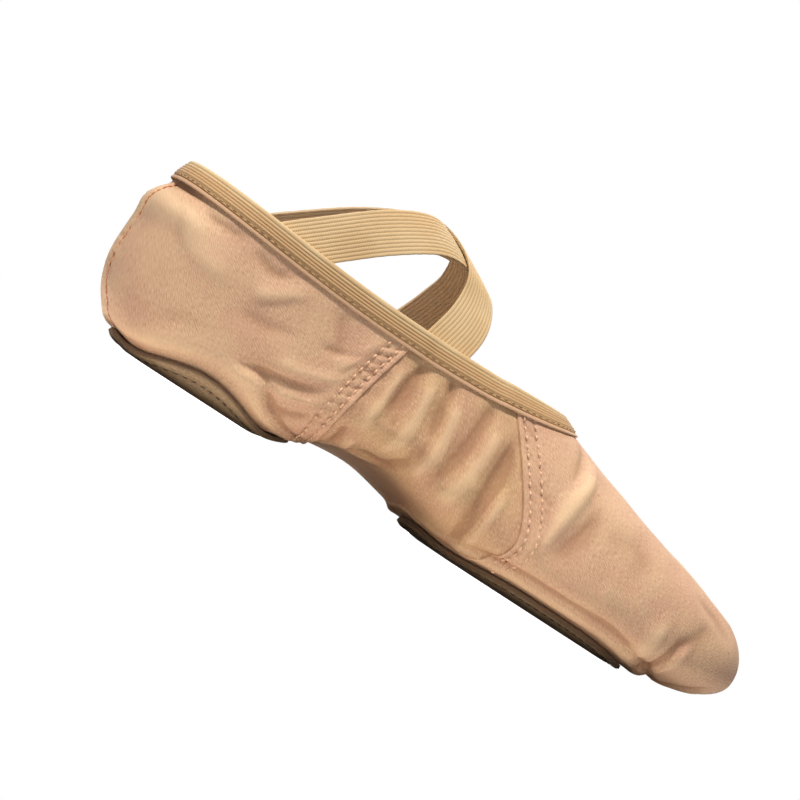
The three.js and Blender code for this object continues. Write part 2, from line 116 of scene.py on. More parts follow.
ARCH_FROM, ARCH_TO, ARCH_LIFT, ARCH_TILT = 60, 140, 8, 0.16
TOPLINE_BACK, TOPLINE_THROAT, THROAT_HEIGHT, TOPLINE_DIP = 7, 147, 53.5, 3.4
ARC_STEPS = 26
print(len(SECTIONS), "cross-sections")

# %% Curves


def smooth(value, start, end):
    """0 at the start, 1 at the end and an easy slope between, whichever of the two is larger."""
    s = np.clip((value - start) / (end - start), 0, 1)
    return s * s * (3 - 2 * s)


def hump(value, middle, width):
    """1 at the middle, and next to nothing two widths away on either side."""
    return np.exp(-(((value - middle) / width) ** 2))


def table_curve(at, positions, values):
    """A smooth curve through a table, with each row's slope taken from the rows beside it."""
    before = np.maximum(np.arange(len(values)) - 1, 0)
    after = np.minimum(np.arange(len(values)) + 1, len(values) - 1)
    slopes = (values[after] - values[before]) / (positions[after] - positions[before])
    i = np.clip(np.searchsorted(positions, at) - 1, 0, len(values) - 2)
    span = positions[i + 1] - positions[i]
    s = np.clip((at - positions[i]) / span, 0, 1)
    ends = values[i] * (1 + 2 * s) * (1 - s) ** 2 + values[i + 1] * (3 - 2 * s) * s**2
    return ends + span * (slopes[i] * s * (1 - s) ** 2 + slopes[i + 1] * (s - 1) * s**2)


def section(name, x):
    return table_curve(x / LENGTH, SECTIONS[:, 0], SECTIONS[:, SECTION_COLUMNS.index(name)])


def round_end(distance, end):
    left = 1 - np.clip(distance / end.reach, 0, 1)
    return (1 - left**end.power) ** (1 / end.power)


print(f"at the toe the middle line lies {section('centre', LENGTH):.1f} mm aside")

# %% Outline of the last


def plan_share(x):
    return round_end(x, HEEL_PLAN) * round_end(LENGTH - x, TOE_PLAN)


def half_width(x):
    return BALL_HALF_WIDTH * section("half", x) * plan_share(x)


def flat_half(x):
    return section("flat", x) * plan_share(x)


def arch_share(x):
    return np.sin(np.pi * np.clip((x - ARCH_FROM) / (ARCH_TO - ARCH_FROM), 0, 1)) ** 2


def under_height(x):
    heel = HEEL_TIP_HEIGHT * (1 - round_end(x, HEEL_UNDER))
    toe = TOE_TIP_HEIGHT * (1 - round_end(LENGTH - x, TOE_SPRING))
    return heel + toe + ARCH_LIFT * arch_share(x)


def crest_height(x):
    full = INSTEP_HEIGHT * section("crest", x)
    heel = HEEL_TIP_HEIGHT + (full - HEEL_TIP_HEIGHT) * round_end(x, HEEL_BACK)
    toe = TOE_TIP_HEIGHT + (full - TOE_TIP_HEIGHT) * round_end(LENGTH - x, TOE_TOP)
    return np.where(x < LENGTH / 2, heel, toe)


print(f"the arch lifts {under_height((ARCH_FROM + ARCH_TO) / 2):.1f} mm")

# %% Collar


def topline_height(x):
    s = np.clip((x - TOPLINE_BACK) / (TOPLINE_THROAT - TOPLINE_BACK), 0, 1)
    return HEEL_HEIGHT + (THROAT_HEIGHT - HEEL_HEIGHT) * s - TOPLINE_DIP * np.sin(np.pi * s)


def crossing(low, high):
    """Where the crest of the last passes through the topline, found by halving."""

    def above(x):
        return crest_height(x) > topline_height(x)

    first = above(low)
    for _ in range(60):
        middle = (low + high) / 2
        low, high = (middle, high) if above(middle) == first else (low, middle)
    return (low + high) / 2


BACK_X = crossing(1.0, 40.0)
THROAT_X = crossing(110.0, 200.0)


def is_open(x):
    return (x > BACK_X + TINY) & (x < THROAT_X - TINY)


print(f"collar from {BACK_X:.1f} to {THROAT_X:.1f} mm along the last")

# %% [markdown]
# ## Points and normals on the last
# One side of each cross-section is a line: a flat underside, a rounded lower arc, and an upper arc that
# ends at the topline. A place on the last is how far along it is, which side, and what share of that line
# lies below it. Working on whole arrays with numpy keeps a surface of fifty thousand points quick.

# %% Cross-sections


def lower_arc(x, side):
    """From the edge of the flat underside out to the widest line, as y and z."""
    flat, widest = flat_half(x), section("widest", x)
    turn = np.linspace(0, np.pi / 2, ARC_STEPS + 1)
    out = flat + (half_width(x) - flat) * np.sin(turn) ** (2 / LOWER_POWER)
    share = np.maximum(np.cos(turn), 0) ** (2 / LOWER_POWER)
    lean = side * ARCH_TILT * arch_share(x) * out * share
    return section("centre", x) + side * out, widest - (widest - under_height(x)) * share - lean


def upper_arc(x, side, whole):
    """From the widest line up to the topline, or to the crest if the last is whole or closed there."""
    half, widest = half_width(x), section("widest", x)
    rise = crest_height(x) - widest
    power = 2 / np.where(side < 0, UPPER_POWER[INNER], UPPER_POWER[OUTER])
    cut = np.clip((topline_height(x) - widest) / np.maximum(rise, SMALLEST), 0, 1)
    stop = np.where(whole | ~is_open(x), np.pi / 2, np.arcsin(cut ** (1 / power)))
    turn = stop * np.linspace(0, 1, ARC_STEPS + 1)[1:]
    reach = section("peak", x) - side * half
    y = section("centre", x) + side * half + reach * (1 - np.maximum(np.cos(turn), 0) ** power)
    return y, widest + rise * np.sin(turn) ** power


def section_lines(x, side, whole):
    """One line of points, as y and z, for each place's cross-section."""
    x, side = x[:, None], side[:, None]
    lower_y, lower_z = lower_arc(x, side)
    upper_y, upper_z = upper_arc(x, side, whole)
    y = np.hstack([section("centre", x), lower_y, upper_y])
    return y, np.hstack([under_height(x), lower_z, upper_z])


def line_lengths(y, z):
    steps = np.hypot(np.diff(y, axis=1), np.diff(z, axis=1))
    return np.hstack([np.zeros((len(y), 1)), np.cumsum(steps, axis=1)])


def as_arrays(*values):
    """Numbers and arrays alike, as arrays of one size."""
    return np.broadcast_arrays(*(np.atleast_1d(value).astype(float) for value in values))


def wall_length(x, side):
    """Length of a cross-section line from the middle of the underside to the topline."""
    return line_lengths(*section_lines(*as_arrays(x, side), False))[:, -1]


def topline_girth(x, side):
    """The share of a whole cross-section line that lies below the topline."""
    x, side = as_arrays(x, side)
    whole = line_lengths(*section_lines(x, side, True))[:, -1]
    return np.where(is_open(x), wall_length(x, side) / np.maximum(whole, SMALLEST), 1)


print(f"{wall_length(LENGTH / 3, INNER)[0]:.0f} mm up the inner wall at a third of the length")

# %% Points and directions
STEP_ALONG, STEP_AROUND = 0.2, 0.004


def last_point(x, side, girth):
    """Points of the last. girth is 0 in the middle of the underside and 1 on the crest."""
    x, side, girth = as_arrays(x, side, girth)
    y, z = section_lines(x, side, True)
    lengths = line_lengths(y, z)
    target = np.clip(girth, 0, 1) * lengths[:, -1]
    i = (lengths[:, 1:-1] < target[:, None]).sum(axis=1)
    row = np.arange(len(x))
    span = lengths[row, i + 1] - lengths[row, i]
    s = np.where(span > 0, (target - lengths[row, i]) / np.maximum(span, SMALLEST), 0)

    def at(values):
        return values[row, i] + (values[row, i + 1] - values[row, i]) * s

    return np.stack([x, at(y), at(z)], axis=1)


def partials(x, side, girth):
    """How a point moves for a step along the last, and for a step round it."""
    x0, x1 = np.maximum(x - STEP_ALONG, 0), np.minimum(x + STEP_ALONG, LENGTH)
    g0, g1 = np.maximum(girth - STEP_AROUND, 0), np.minimum(girth + STEP_AROUND, 1)
    along = (last_point(x1, side, girth) - last_point(x0, side, girth)) / (x1 - x0)[:, None]
    around = (last_point(x, side, g1) - last_point(x, side, g0)) / (g1 - g0)[:, None]
    return along, around


def unit(vectors):
    return vectors / np.maximum(np.linalg.norm(vectors, axis=1, keepdims=True), SMALLEST)


def side_normal(x, side, girth):
    along, around = partials(x, side, girth)
    return unit(np.cross(around, along) * side[:, None])


def last_normal(x, side, girth):
    """Directions out of the last. Both sides share one on the middle lines and at the tips."""
    x, side, girth = as_arrays(x, side, girth)
    normal = side_normal(x, side, girth)
    middle = (girth < TINY) | (girth > 1 - TINY)
    if middle.any():
        other = side_normal(x[middle], -side[middle], girth[middle])
        normal[middle] = unit(normal[middle] + other)
    normal[x < TINY] = (-1, 0, 0)
    normal[x > LENGTH - TINY] = (1, 0, 0)
    return normal


def off_last(x, side, girth, offset):
    return last_point(x, side, girth) + last_normal(x, side, girth) * np.atleast_1d(offset)[:, None]


print("the tip of the heel is at", np.round(last_point(0, INNER, 0)[0], 1))

# %% Walking on the last
WALK_STEP = 1.2


def dot(first, second):
    return np.einsum("ij,ij->i", first, second)


def walk_on_last(x, side, girth, direction, distance):
    """Follows the surface of the last from each place for a distance in a direction."""
    steps = max(1, math.ceil(distance / WALK_STEP))
    for _ in range(steps):
        along, around = partials(x, side, girth)
        aa, ag, gg = dot(along, along), dot(along, around), dot(around, around)
        da, dg = dot(along, direction), dot(around, direction)
        dx = (gg * da - ag * dg) / (aa * gg - ag * ag)
        d_girth = (aa * dg - ag * da) / (aa * gg - ag * ag)
        moved = np.linalg.norm(along * dx[:, None] + around * d_girth[:, None], axis=1)
        x = x + dx * distance / steps / moved
        girth = girth + d_girth * distance / steps / moved
        over = girth > 1
        girth, side = np.where(over, 2 - girth, girth), np.where(over, -side, side)
    return x, side, girth


def path_lengths(points):
    """The length along a line of points, up to each of them."""
    return np.concatenate([[0], np.cumsum(np.linalg.norm(np.diff(points, axis=0), axis=1))])


# The middle of the footprint is the frame's origin, and the patches' underside is its floor.
stations = np.linspace(0, LENGTH, 2000)
left_edge = (section("centre", stations) - half_width(stations)).min()
right_edge = (section("centre", stations) + half_width(stations)).max()
LIFT = LAP + SHEET_GAP + SOLE_THICKNESS
SHIFT = np.array([-LENGTH / 2, -(left_edge + right_edge) / 2, LIFT])
print("last placed at", np.round(SHIFT, 2), "mm")

# %% [markdown]
# ## Seams and patches
# The heel and vamp panels lap over the arch panel, and a suede patch closes the shell under the heel and
# under the ball. Panels could be cut as separate cloths, but on a last a seam is just a line: a short
# table of how far along it lies at each height. A patch is an oval that tapers to one end.

# %% Where seams and patches lie
REAR_SEAM_GIRTH = np.array([0.0, 0.2, 0.45, 0.7, 1.0])
REAR_SEAM = np.array([81.0, 81.0, 80.0, 83.0, 89.0])
FRONT_SEAM_GIRTH = np.array([0.0, 0.14, 0.28, 0.42, 0.55, 0.75, 1.0])
FRONT_SEAM = np.array([119.0, 121.0, 135.0, 145.0, 143.0, 134.0, 122.0])
SEAM_STEP = 0.25

Oval = namedtuple("Oval", "middle half_length half_width power taper")
HEEL_PATCH = Oval(45.5, 32, 24, 2.0, -0.13)
FOREFOOT_PATCH = Oval(166, 41, 32.5, 2.4, 0.1)


def rear_seam_x(share):
    return table_curve(share, REAR_SEAM_GIRTH, REAR_SEAM)


def front_seam_x(share):
    return table_curve(share, FRONT_SEAM_GIRTH, FRONT_SEAM)


def into_laps(x, share):
    """How far places lie inside the edge of the heel panel, and inside that of the vamp panel."""
    return rear_seam_x(share) - x, x - front_seam_x(share)


def lap_height(x, share):
    """Heel and vamp lie over the arch panel, which is set in by the thickness of one cloth."""
    return LAP * (1 - np.clip(-np.maximum(*into_laps(x, share)) / SEAM_STEP, 0, 1))


def oval_reach(oval, x, y):
    """How far out a point of the floor plan lies: 1 on the oval's edge, in shares of its size."""
    along = (x - oval.middle) / oval.half_length
    across = (y - section("centre", x)) / (oval.half_width * (1 + oval.taper * np.clip(along, -1, 1)))
    return (np.abs(along) ** oval.power + np.abs(across) ** oval.power) ** (1 / oval.power)


def patch_reach(x, y):
    return np.minimum(oval_reach(HEEL_PATCH, x, y), oval_reach(FOREFOOT_PATCH, x, y))


print(f"rear seam at {REAR_SEAM[-1]} mm and front seam at {FRONT_SEAM[-1]} mm, on the collar")

# %% [markdown]
# ## Folds
# Worn canvas has gathers in the arch, drag lines from the heel patch, and pleats where the toe is drawn to
# its patch. Cloth simulation would put folds somewhere, but these have to be where the real ones are. So
# each main fold is a row of a table: a soft ridge or hollow along a line of two runs, which leans over to
# its lee and fades out at both ends. The wall is raised or lowered by their sum.

# %% Table of folds
# A fold runs from a first place through a second to a third, each as x and share of the way from the
# underside to the topline. width is how broad it is, height how far it stands out, or in if negative.
Fold = namedtuple("Fold", "side x0 g0 x1 g1 x2 g2 width height")
INNER_FOLDS = [
    # Heel panel: hollows and soft bumps below the collar, and drag lines from the patch to the seam.
    (12, 0.84, 20, 0.86, 30, 0.90, 2.0, -0.7),
    (8, 0.72, 18, 0.70, 32, 0.74, 4.0, 0.6),
    (30, 0.87, 38, 0.83, 47, 0.87, 2.2, -0.7),
    (36, 0.70, 44, 0.77, 54, 0.88, 2.8, 1.0),
    (34, 0.63, 46, 0.65, 60, 0.71, 2.6, -0.6),
    (62, 0.90, 66, 0.80, 70, 0.68, 2.4, -0.6),
    (70, 0.64, 76, 0.76, 79, 0.90, 2.2, 0.7),
    (52, 0.55, 64, 0.58, 78, 0.65, 2.0, 0.9),
    (42, 0.46, 57, 0.51, 76, 0.58, 1.5, -1.3),
    (40, 0.42, 58, 0.45, 74, 0.51, 2.0, 0.9),
    (58, 0.38, 67, 0.40, 77, 0.45, 1.4, -0.9),
    (61, 0.71, 70, 0.73, 80, 0.79, 1.3, -0.6),
    (66, 0.47, 72, 0.49, 80, 0.51, 1.1, 0.6),
    # Arch panel: bent gathers from the collar into the hollow of the arch, a swag low between them, and
    # fine wrinkles across.
    (89.2, 0.84, 88.8, 0.62, 88.3, 0.42, 1.7, 1.1),
    (95, 0.97, 92.3, 0.78, 91.2, 0.50, 2.1, -1.6),
    (98.8, 0.88, 100.8, 0.62, 98.6, 0.33, 1.9, 1.6),
    (102.8, 0.98, 105, 0.75, 106.5, 0.55, 2.0, -1.8),
    (107, 0.62, 106, 0.44, 101, 0.27, 2.0, -1.7),
    (106, 0.33, 100.5, 0.27, 92, 0.29, 2.1, -1.4),
    (104, 0.22, 97, 0.19, 89, 0.23, 2.4, 1.0),
    (108.6, 0.86, 111.5, 0.60, 109.4, 0.32, 2.1, 1.7),
    (118.5, 0.97, 117.2, 0.70, 113.2, 0.37, 2.3, -1.7),
    (124.5, 0.86, 123.4, 0.60, 119.5, 0.34, 2.6, 1.3),
    (129, 0.86, 129.6, 0.53, 132.5, 0.24, 2.1, -2.6),
    (135, 0.66, 134.8, 0.46, 135.5, 0.26, 1.6, 1.3),
    (83.4, 0.46, 84.6, 0.36, 84.5, 0.24, 1.3, -1.8),
    (88.5, 0.40, 89, 0.32, 90, 0.22, 1.8, 1.0),
    (93.5, 0.62, 96, 0.53, 99.5, 0.47, 1.0, -0.6),
    (102, 0.84, 105.5, 0.77, 109, 0.73, 1.0, 0.5),
    (110.5, 0.52, 114, 0.45, 118.5, 0.42, 1.1, -0.6),
    (120, 0.68, 124, 0.59, 128, 0.55, 1.2, 0.6),
    # Vamp: a long curved ridge from the bottom of the seam up to the throat, between two hollows.
    (147.5, 0.33, 154, 0.58, 160.5, 0.86, 2.8, 1.7),
    (154, 0.90, 152.3, 0.76, 151, 0.62, 2.4, -1.0),
    (155, 0.44, 160, 0.58, 165, 0.72, 3.2, -1.0),
    (166, 0.62, 178, 0.68, 190, 0.62, 5.5, -0.7),
    (172, 0.50, 182, 0.52, 194, 0.56, 4.5, 0.6),
    (176, 0.82, 188, 0.80, 198, 0.74, 5.0, 0.5),
    # Toe: short deep pleats fanning out from the front of the patch, and two faint lines on top.
    (199, 0.58, 198.5, 0.42, 198, 0.30, 2.6, 1.2),
    (206.5, 0.56, 204.8, 0.39, 202, 0.22, 1.6, -2.1),
    (211, 0.56, 209, 0.42, 206, 0.3, 1.9, 1.1),
    (215, 0.66, 210, 0.56, 206, 0.48, 3.2, -0.8),
    (229, 0.44, 219, 0.30, 208, 0.13, 1.6, -1.5),
    (231, 0.36, 222, 0.24, 213, 0.14, 1.9, 0.6),
    (233, 0.24, 226, 0.15, 217, 0.09, 1.6, -1.2),
    (192, 0.86, 212, 0.86, 232, 0.80, 2.4, 0.6),
    (206, 0.74, 218, 0.72, 231, 0.62, 3.2, -0.6),
]
# The outer side has fewer, plainer folds in the same places.
OUTER_FOLDS = [
    (12, 0.84, 20, 0.86, 28, 0.90, 2.0, -0.7),
    (34, 0.86, 43, 0.84, 52, 0.87, 3.6, -0.9),
    (42, 0.72, 54, 0.74, 66, 0.82, 4.5, 0.9),
    (44, 0.50, 60, 0.50, 75, 0.57, 2.4, -1.0),
    (46, 0.57, 62, 0.58, 77, 0.65, 3.0, 0.7),
    (92, 0.89, 88, 0.62, 84, 0.38, 2.6, -1.2),
    (99, 0.86, 96, 0.60, 94, 0.38, 2.4, 1.0),
    (108, 0.88, 105, 0.60, 101, 0.36, 2.4, -1.2),
    (115, 0.84, 112, 0.58, 109, 0.34, 2.6, 1.0),
    (123, 0.80, 120, 0.58, 116, 0.36, 2.8, -0.8),
    (136, 0.64, 132, 0.42, 124, 0.22, 3.0, -1.9),
    (90, 0.40, 99, 0.31, 110, 0.38, 2.0, -0.9),
    (150, 0.44, 158, 0.60, 164, 0.74, 4.2, 1.2),
    (168, 0.62, 180, 0.66, 192, 0.60, 5.0, -0.6),
    (203, 0.60, 204, 0.48, 201, 0.34, 2.0, -1.8),
    (197, 0.60, 198, 0.50, 196, 0.38, 2.8, 1.1),
    (218, 0.44, 213, 0.34, 207, 0.25, 1.9, -1.3),
    (229, 0.26, 220, 0.19, 211, 0.13, 1.8, -0.9),
    (195, 0.92, 213, 0.93, 230, 0.90, 2.4, 0.5),
]
FOLDS = [Fold(INNER, *row) for row in INNER_FOLDS] + [Fold(OUTER, *row) for row in OUTER_FOLDS]
print(len(FOLDS), "folds")

# %% Folds
LEE = (0.86, -0.51)
FOLD_LEAN = 0.42
FADE_IN, FADE_OUT = 0.25, 0.35
RIDGE_POWER, HOLLOW_POWER = 2.0, 1.5


def fold_line(fold):
    """A fold's three places, in millimetres along the last and up its wall."""
    places = ((fold.x0, fold.g0), (fold.x1, fold.g1), (fold.x2, fold.g2))
    return [(x, share * wall_length(x, fold.side)[0]) for x, share in places]


FOLD_LINES = [fold_line(fold) for fold in FOLDS]


def distance_to_run(x, up, start, end):
    """How far places are from a straight run, how much to its lee, and the nearest spot along it."""
    (x0, up0), (x1, up1) = start, end
    dx, dup = x1 - x0, up1 - up0
    s = np.clip(((x - x0) * dx + (up - up0) * dup) / (dx * dx + dup * dup), 0, 1)
    off_x, off_up = x - x0 - s * dx, up - up0 - s * dup
    near = np.hypot(off_x, off_up)
    return near, (off_x * LEE[0] + off_up * LEE[1]) / np.maximum(near, TINY), s


def fold_relief(x, side, share, length):
    total = np.zeros_like(x)
    for fold, (start, middle, end) in zip(FOLDS, FOLD_LINES):
        first, first_lee, s0 = distance_to_run(x, share * length, start, middle)
        second, second_lee, s1 = distance_to_run(x, share * length, middle, end)
        nearer = first < second
        along = np.where(nearer, s0 / 2, 0.5 + s1 / 2)
        lean = FOLD_LEAN * np.sign(fold.height) * np.where(nearer, first_lee, second_lee)
        fade = smooth(along, 0, FADE_IN) * smooth(1 - along, 0, FADE_OUT)
        reach = np.minimum(first, second) / (fold.width * (1 - lean))
        power = RIDGE_POWER if fold.height > 0 else HOLLOW_POWER
        total += np.where(side == fold.side, fold.height * np.exp(-(reach**power)) * fade, 0)
    return total


print(f"folds up to {max(abs(fold.height) for fold in FOLDS)} mm high")

# %% [markdown]
# ## Cloth drawn in by sewing
# A sewn edge rolls a little, and the cloth is drawn in along the two rows of stitches and between them,
# once for each stitch. Bump could hint at it, but these are among the largest marks on the shoe, so they
# are shape. The doubled cloth is stiffer, so folds are weaker there.

# %% Panel seams
STITCH_ROWS = (2.0, 5.6)
STITCH_PITCH = 3.0
SEAM_ROLL, ROLL_WIDTH = 0.1, 0.7
ROW_DRAW, STITCH_DRAW, LADDER_DRAW, ROW_WIDTH = 0.28, 0.45, 0.5, 0.7
SEAM_HOLLOW, HOLLOW_WIDTH = 0.15, 0.9
PUCKER, PUCKER_LENGTH, PUCKER_REACH = 0.14, 6.3, 5
BAND_START, BAND_END = (-1, 0.5), (9, 6.5)


def seam_relief(x, share, length):
    """The rolled edge of each lap, with the cloth drawn in along and between its two rows of stitches."""
    up = share * length
    total = np.zeros_like(x)
    beat = 0.5 - 0.5 * np.cos(2 * np.pi * up / STITCH_PITCH)
    first, last = STITCH_ROWS
    for inside in into_laps(x, share):
        roll = SEAM_ROLL * hump(inside, ROLL_WIDTH, ROLL_WIDTH)
        rows = hump(inside, first, ROW_WIDTH) + hump(inside, last, ROW_WIDTH)
        between = smooth(inside, first, first + 1) * smooth(inside, last, last - 1)
        drawn = ROW_DRAW * rows + STITCH_DRAW * rows * beat**2 + LADDER_DRAW * between * beat**3
        hollow = -SEAM_HOLLOW * hump(inside, 0, HOLLOW_WIDTH)
        pucker = PUCKER * np.sin(2 * np.pi * up / PUCKER_LENGTH) * np.exp(-np.abs(inside) / PUCKER_REACH)
        total += np.where(inside > -SEAM_STEP / 2, roll - drawn, hollow) + pucker
    return total


def seam_band(x, share):
    """1 on the doubled cloth of a seam, which is stiffer and folds less."""
    return sum(smooth(inside, *BAND_START) * smooth(inside, *BAND_END) for inside in into_laps(x, share))


print("rows of stitches", STITCH_ROWS, "mm inside each lap")

# %% Back of the heel
BACK_SEAM_SIDE = -5.5
BACK_REACH = (15, 11)
TURNED_EDGE, TURNED_START, TURNED_END = 0.5, (-0.3, 0.4), (7.0, 5.0)
BACK_GROOVE, BACK_GROOVE_WIDTH = 0.35, 0.5
BACK_PUCKER, BACK_PUCKER_RATE, BACK_PUCKER_AT, BACK_PUCKER_WIDTH = 0.2, 2.1, 1.2, 2.2
BULGE, BULGE_AT, BULGE_WIDTH = 1.7, 40, 4.0
NIP, NIP_AT, NIP_WIDTH = 1.5, 48.5, 2.2
BULGE_REACH = (24, 7)


def back_seam_relief(points):
    """A seam down the back of the heel, with its turned edges lying under the outer side."""
    x, y, z = points.T
    across = y - section("centre", x) - BACK_SEAM_SIDE
    band = TURNED_EDGE * smooth(across, *TURNED_START) * smooth(across, *TURNED_END)
    beat = np.sin(z * BACK_PUCKER_RATE)
    pucker = BACK_PUCKER * beat * hump(across, BACK_PUCKER_AT, BACK_PUCKER_WIDTH)
    groove = BACK_GROOVE * hump(across, 0, BACK_GROOVE_WIDTH)
    return smooth(x, *BACK_REACH) * (band + pucker - groove)


def back_fold_relief(points):
    """Cloth folds in above the back of the heel, where the last narrows, and rolls out below that."""
    x, _, z = points.T
    fold = BULGE * hump(z, BULGE_AT, BULGE_WIDTH) - NIP * hump(z, NIP_AT, NIP_WIDTH)
    return fold * smooth(x, *BULGE_REACH)


print(f"back seam {-BACK_SEAM_SIDE} mm to the inner side")

# %% Cloth round the patches
# For each patch, how high the cloth rolls, and how far past the edge, as a share of the patch's size.
PATCH_ROLLS = ((HEEL_PATCH, 0.9, 0.13), (FOREFOOT_PATCH, 1.0, 0.11))
ROLL_SPREAD, ROLL_TOP = 0.6, (26, 16)
# The crease, in shares of the roll's height and reach, starts behind the middle of a patch and stays low.
PATCH_CREASE, CREASE_AT, CREASE_SPREAD = 1.5, 1.9, 0.28
CREASE_START, CREASE_TOP = (-0.95, -0.5), (18, 12)


def patch_roll(points):
    """Cloth rolls out just beyond the edge of each patch, with a crease where the roll ends."""
    x, y, z = points.T
    total = np.zeros_like(x)
    for oval, height, reach in PATCH_ROLLS:
        past = (oval_reach(oval, x, y) - 1) / reach
        started = smooth((x - oval.middle) / oval.half_length, *CREASE_START)
        crease = PATCH_CREASE * started * smooth(z, *CREASE_TOP) * hump(past, CREASE_AT, CREASE_SPREAD)
        total += height * (hump(past, 1, ROLL_SPREAD) - crease)
    return total * smooth(z, *ROLL_TOP)


print(len(PATCH_ROLLS), "patches with rolled cloth round them")

# %% [markdown]
# ## The outer face of the upper
# The face is the last, raised by the lap of the panels and by all the relief above. Loose cloth is never
# quite even, so two faint crossed swells are added. The relief fades out where the binding presses the
# cloth flat, along the closed top, and over the patches.

# %% Outer face
# A broad and a fine swell, each a height and two crossed waves. A wave turns by one radian in so many
# millimetres along x, y and z.
SWELLS = (
    (0.18, (7.3, 11, 9.1), (-12.7, 8, 7.7)),
    (0.1, (3.9, 6.7, -5.3), (9.1, -5.2, 4.7)),
)
SEAM_STIFFNESS = 0.6
CREST_FADE = (0, 8)
COLLAR_FADE = (5.5, 11)
PATCH_FADE, PATCH_FADE_TOP = (0.98, 1.12), 24
BACK_STEEPNESS = 4


def slack(points):
    """The faint unevenness of cloth that nothing pulls tight."""
    total = np.zeros(len(points))
    for height, first, second in SWELLS:
        total += height * np.sin((points / first).sum(axis=1)) * np.sin((points / second).sum(axis=1))
    return total


def cloth_relief(x, side, share):
    """All folds, rolls and seams together, with the places where they fade out."""
    length = wall_length(x, side)
    points = last_point(x, side, share * topline_girth(x, side))
    below = length * (1 - share)
    on_crest = np.where(is_open(x), 1, smooth(below, *CREST_FADE))
    folds = fold_relief(x, side, share, length) * (1 - SEAM_STIFFNESS * seam_band(x, share)) * on_crest
    soft = folds + slack(points) + patch_roll(points) + back_fold_relief(points)
    sewn = seam_relief(x, share, length) + back_seam_relief(points)
    off_patch = smooth(patch_reach(x, points[:, 1]), *PATCH_FADE)
    past_collar = np.maximum(BACK_STEEPNESS * (BACK_X - x), x - THROAT_X)
    off_collar = smooth(np.hypot(below, np.maximum(past_collar, 0)), *COLLAR_FADE)
    return (soft + sewn) * np.where(points[:, 2] < PATCH_FADE_TOP, off_patch, 1) * off_collar


def cloth_point(x, side, share, raised=0.0):
    """Points on the outer face of the upper, with the normals of the last there."""
    x, side, share = as_arrays(x, side, share)
    girth = share * topline_girth(x, side)
    normal = last_normal(x, side, girth)
    out = lap_height(x, share) + cloth_relief(x, side, share) + raised
    return last_point(x, side, girth) + normal * out[:, None], normal


print("a point in the arch:", np.round(cloth_point(LENGTH * 0.42, INNER, 0.5)[0][0], 1))

# %% [markdown]
# ## From a flat grid to cloth
# Every soft piece here starts as Blender's grid primitive. Its vertices are then laid onto the last, as a
# maker lays cloth on a form, and its UV map keeps the cloth's own millimetres so that a weave follows the
# surface. Where two edges of the grid meet, they are merged, and Solidify gives the cloth its thickness.

# %% Laying a grid


def read_vectors(items, field):
    flat = np.empty(len(items) * 3)
    items.foreach_get(field, flat)
    return flat.reshape(-1, 3)


def grid_piece(name, columns, rows, lay):
    """A grid primitive of columns by rows, laid out by lay(column, row), which gives points and UVs."""
    bpy.ops.object.select_all(action="DESELECT")
    bpy.ops.mesh.primitive_grid_add(x_subdivisions=columns, y_subdivisions=rows, size=1)
    piece = bpy.context.object
    piece.name = piece.data.name = name
    mesh = piece.data
    flat = read_vectors(mesh.vertices, "co") + 0.5
    column, row = (np.rint(flat[:, :2] * (columns, rows)).astype(int)).T
    points, cloth = lay(column, row)
    mesh.vertices.foreach_set("co", ((points + SHIFT) * MM).ravel())
    corner = np.empty(len(mesh.loops), dtype=np.int32)
    mesh.loops.foreach_get("vertex_index", corner)
    mesh.uv_layers.active.data.foreach_set("uv", (cloth[corner] * MM).ravel())
    mesh.update()
    return piece


print("grids are laid in the frame, 1 mm =", MM, "m")

# %% Merging, thickness and numbers kept
WELD_DISTANCE = 0.002


def weld(piece):
    bpy.context.view_layer.objects.active = piece
    bpy.ops.object.mode_set(mode="EDIT")
    bpy.ops.mesh.select_all(action="SELECT")
    bpy.ops.mesh.remove_doubles(threshold=WELD_DISTANCE * MM)
    bpy.ops.mesh.select_all(action="DESELECT")
    bpy.ops.object.mode_set(mode="OBJECT")


def solidify(piece, thickness):
    """Adds Solidify, with the cloth's face as its outside, and applies it."""
    modifier = piece.modifiers.new("Thickness", "SOLIDIFY")
    modifier.thickness = thickness * MM
    modifier.offset = -1
    bpy.context.view_layer.objects.active = piece
    bpy.ops.object.modifier_apply(modifier=modifier.name)


def keep_values(piece, values_by_name):
    """Keeps a number or a vector for each vertex, for a material or a later step to read."""
    for name, values in values_by_name.items():
        kind, field = ("FLOAT", "value") if values.ndim == 1 else ("FLOAT_VECTOR", "vector")
        layer = piece.data.attributes.new(name, kind, "POINT")
        layer.data.foreach_set(field, values.astype(np.float32).ravel())


print(f"points within {WELD_DISTANCE} mm are merged")

# %% Dressing a piece


def dress(piece, material, slot, *nodes):
    """Gives a piece its material, seats it on the body and lets it stand for its solids."""
    piece.data.materials.clear()
    piece.data.materials.append(material)
    bpy.ops.object.select_all(action="DESELECT")
    piece.select_set(True)
    bpy.context.view_layer.objects.active = piece
    bpy.ops.object.shade_smooth()
    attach(piece, "root")
    if nodes:
        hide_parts(*nodes)
    print(f"{piece.name}: {len(piece.data.polygons)} faces")


# %% [markdown]
# ## Colours and nodes
# Colours are picked as sRGB hex values, as on screen, and a shader wants linear light, so one function
# turns them. Another adds a node and its links, so that each material below reads as a list of layers.
# A pattern's scale is how many of its real size fit in a metre.

# %% Material helpers
COLOURS = {"data_type": "RGBA"}
SMOOTH_STEP = {"interpolation_type": "SMOOTHSTEP"}
BANDS = {"wave_type": "BANDS", "bands_direction": "X"}
# A wave texture repeats after this much of its own unit.
WAVE_PERIOD = math.pi / 10


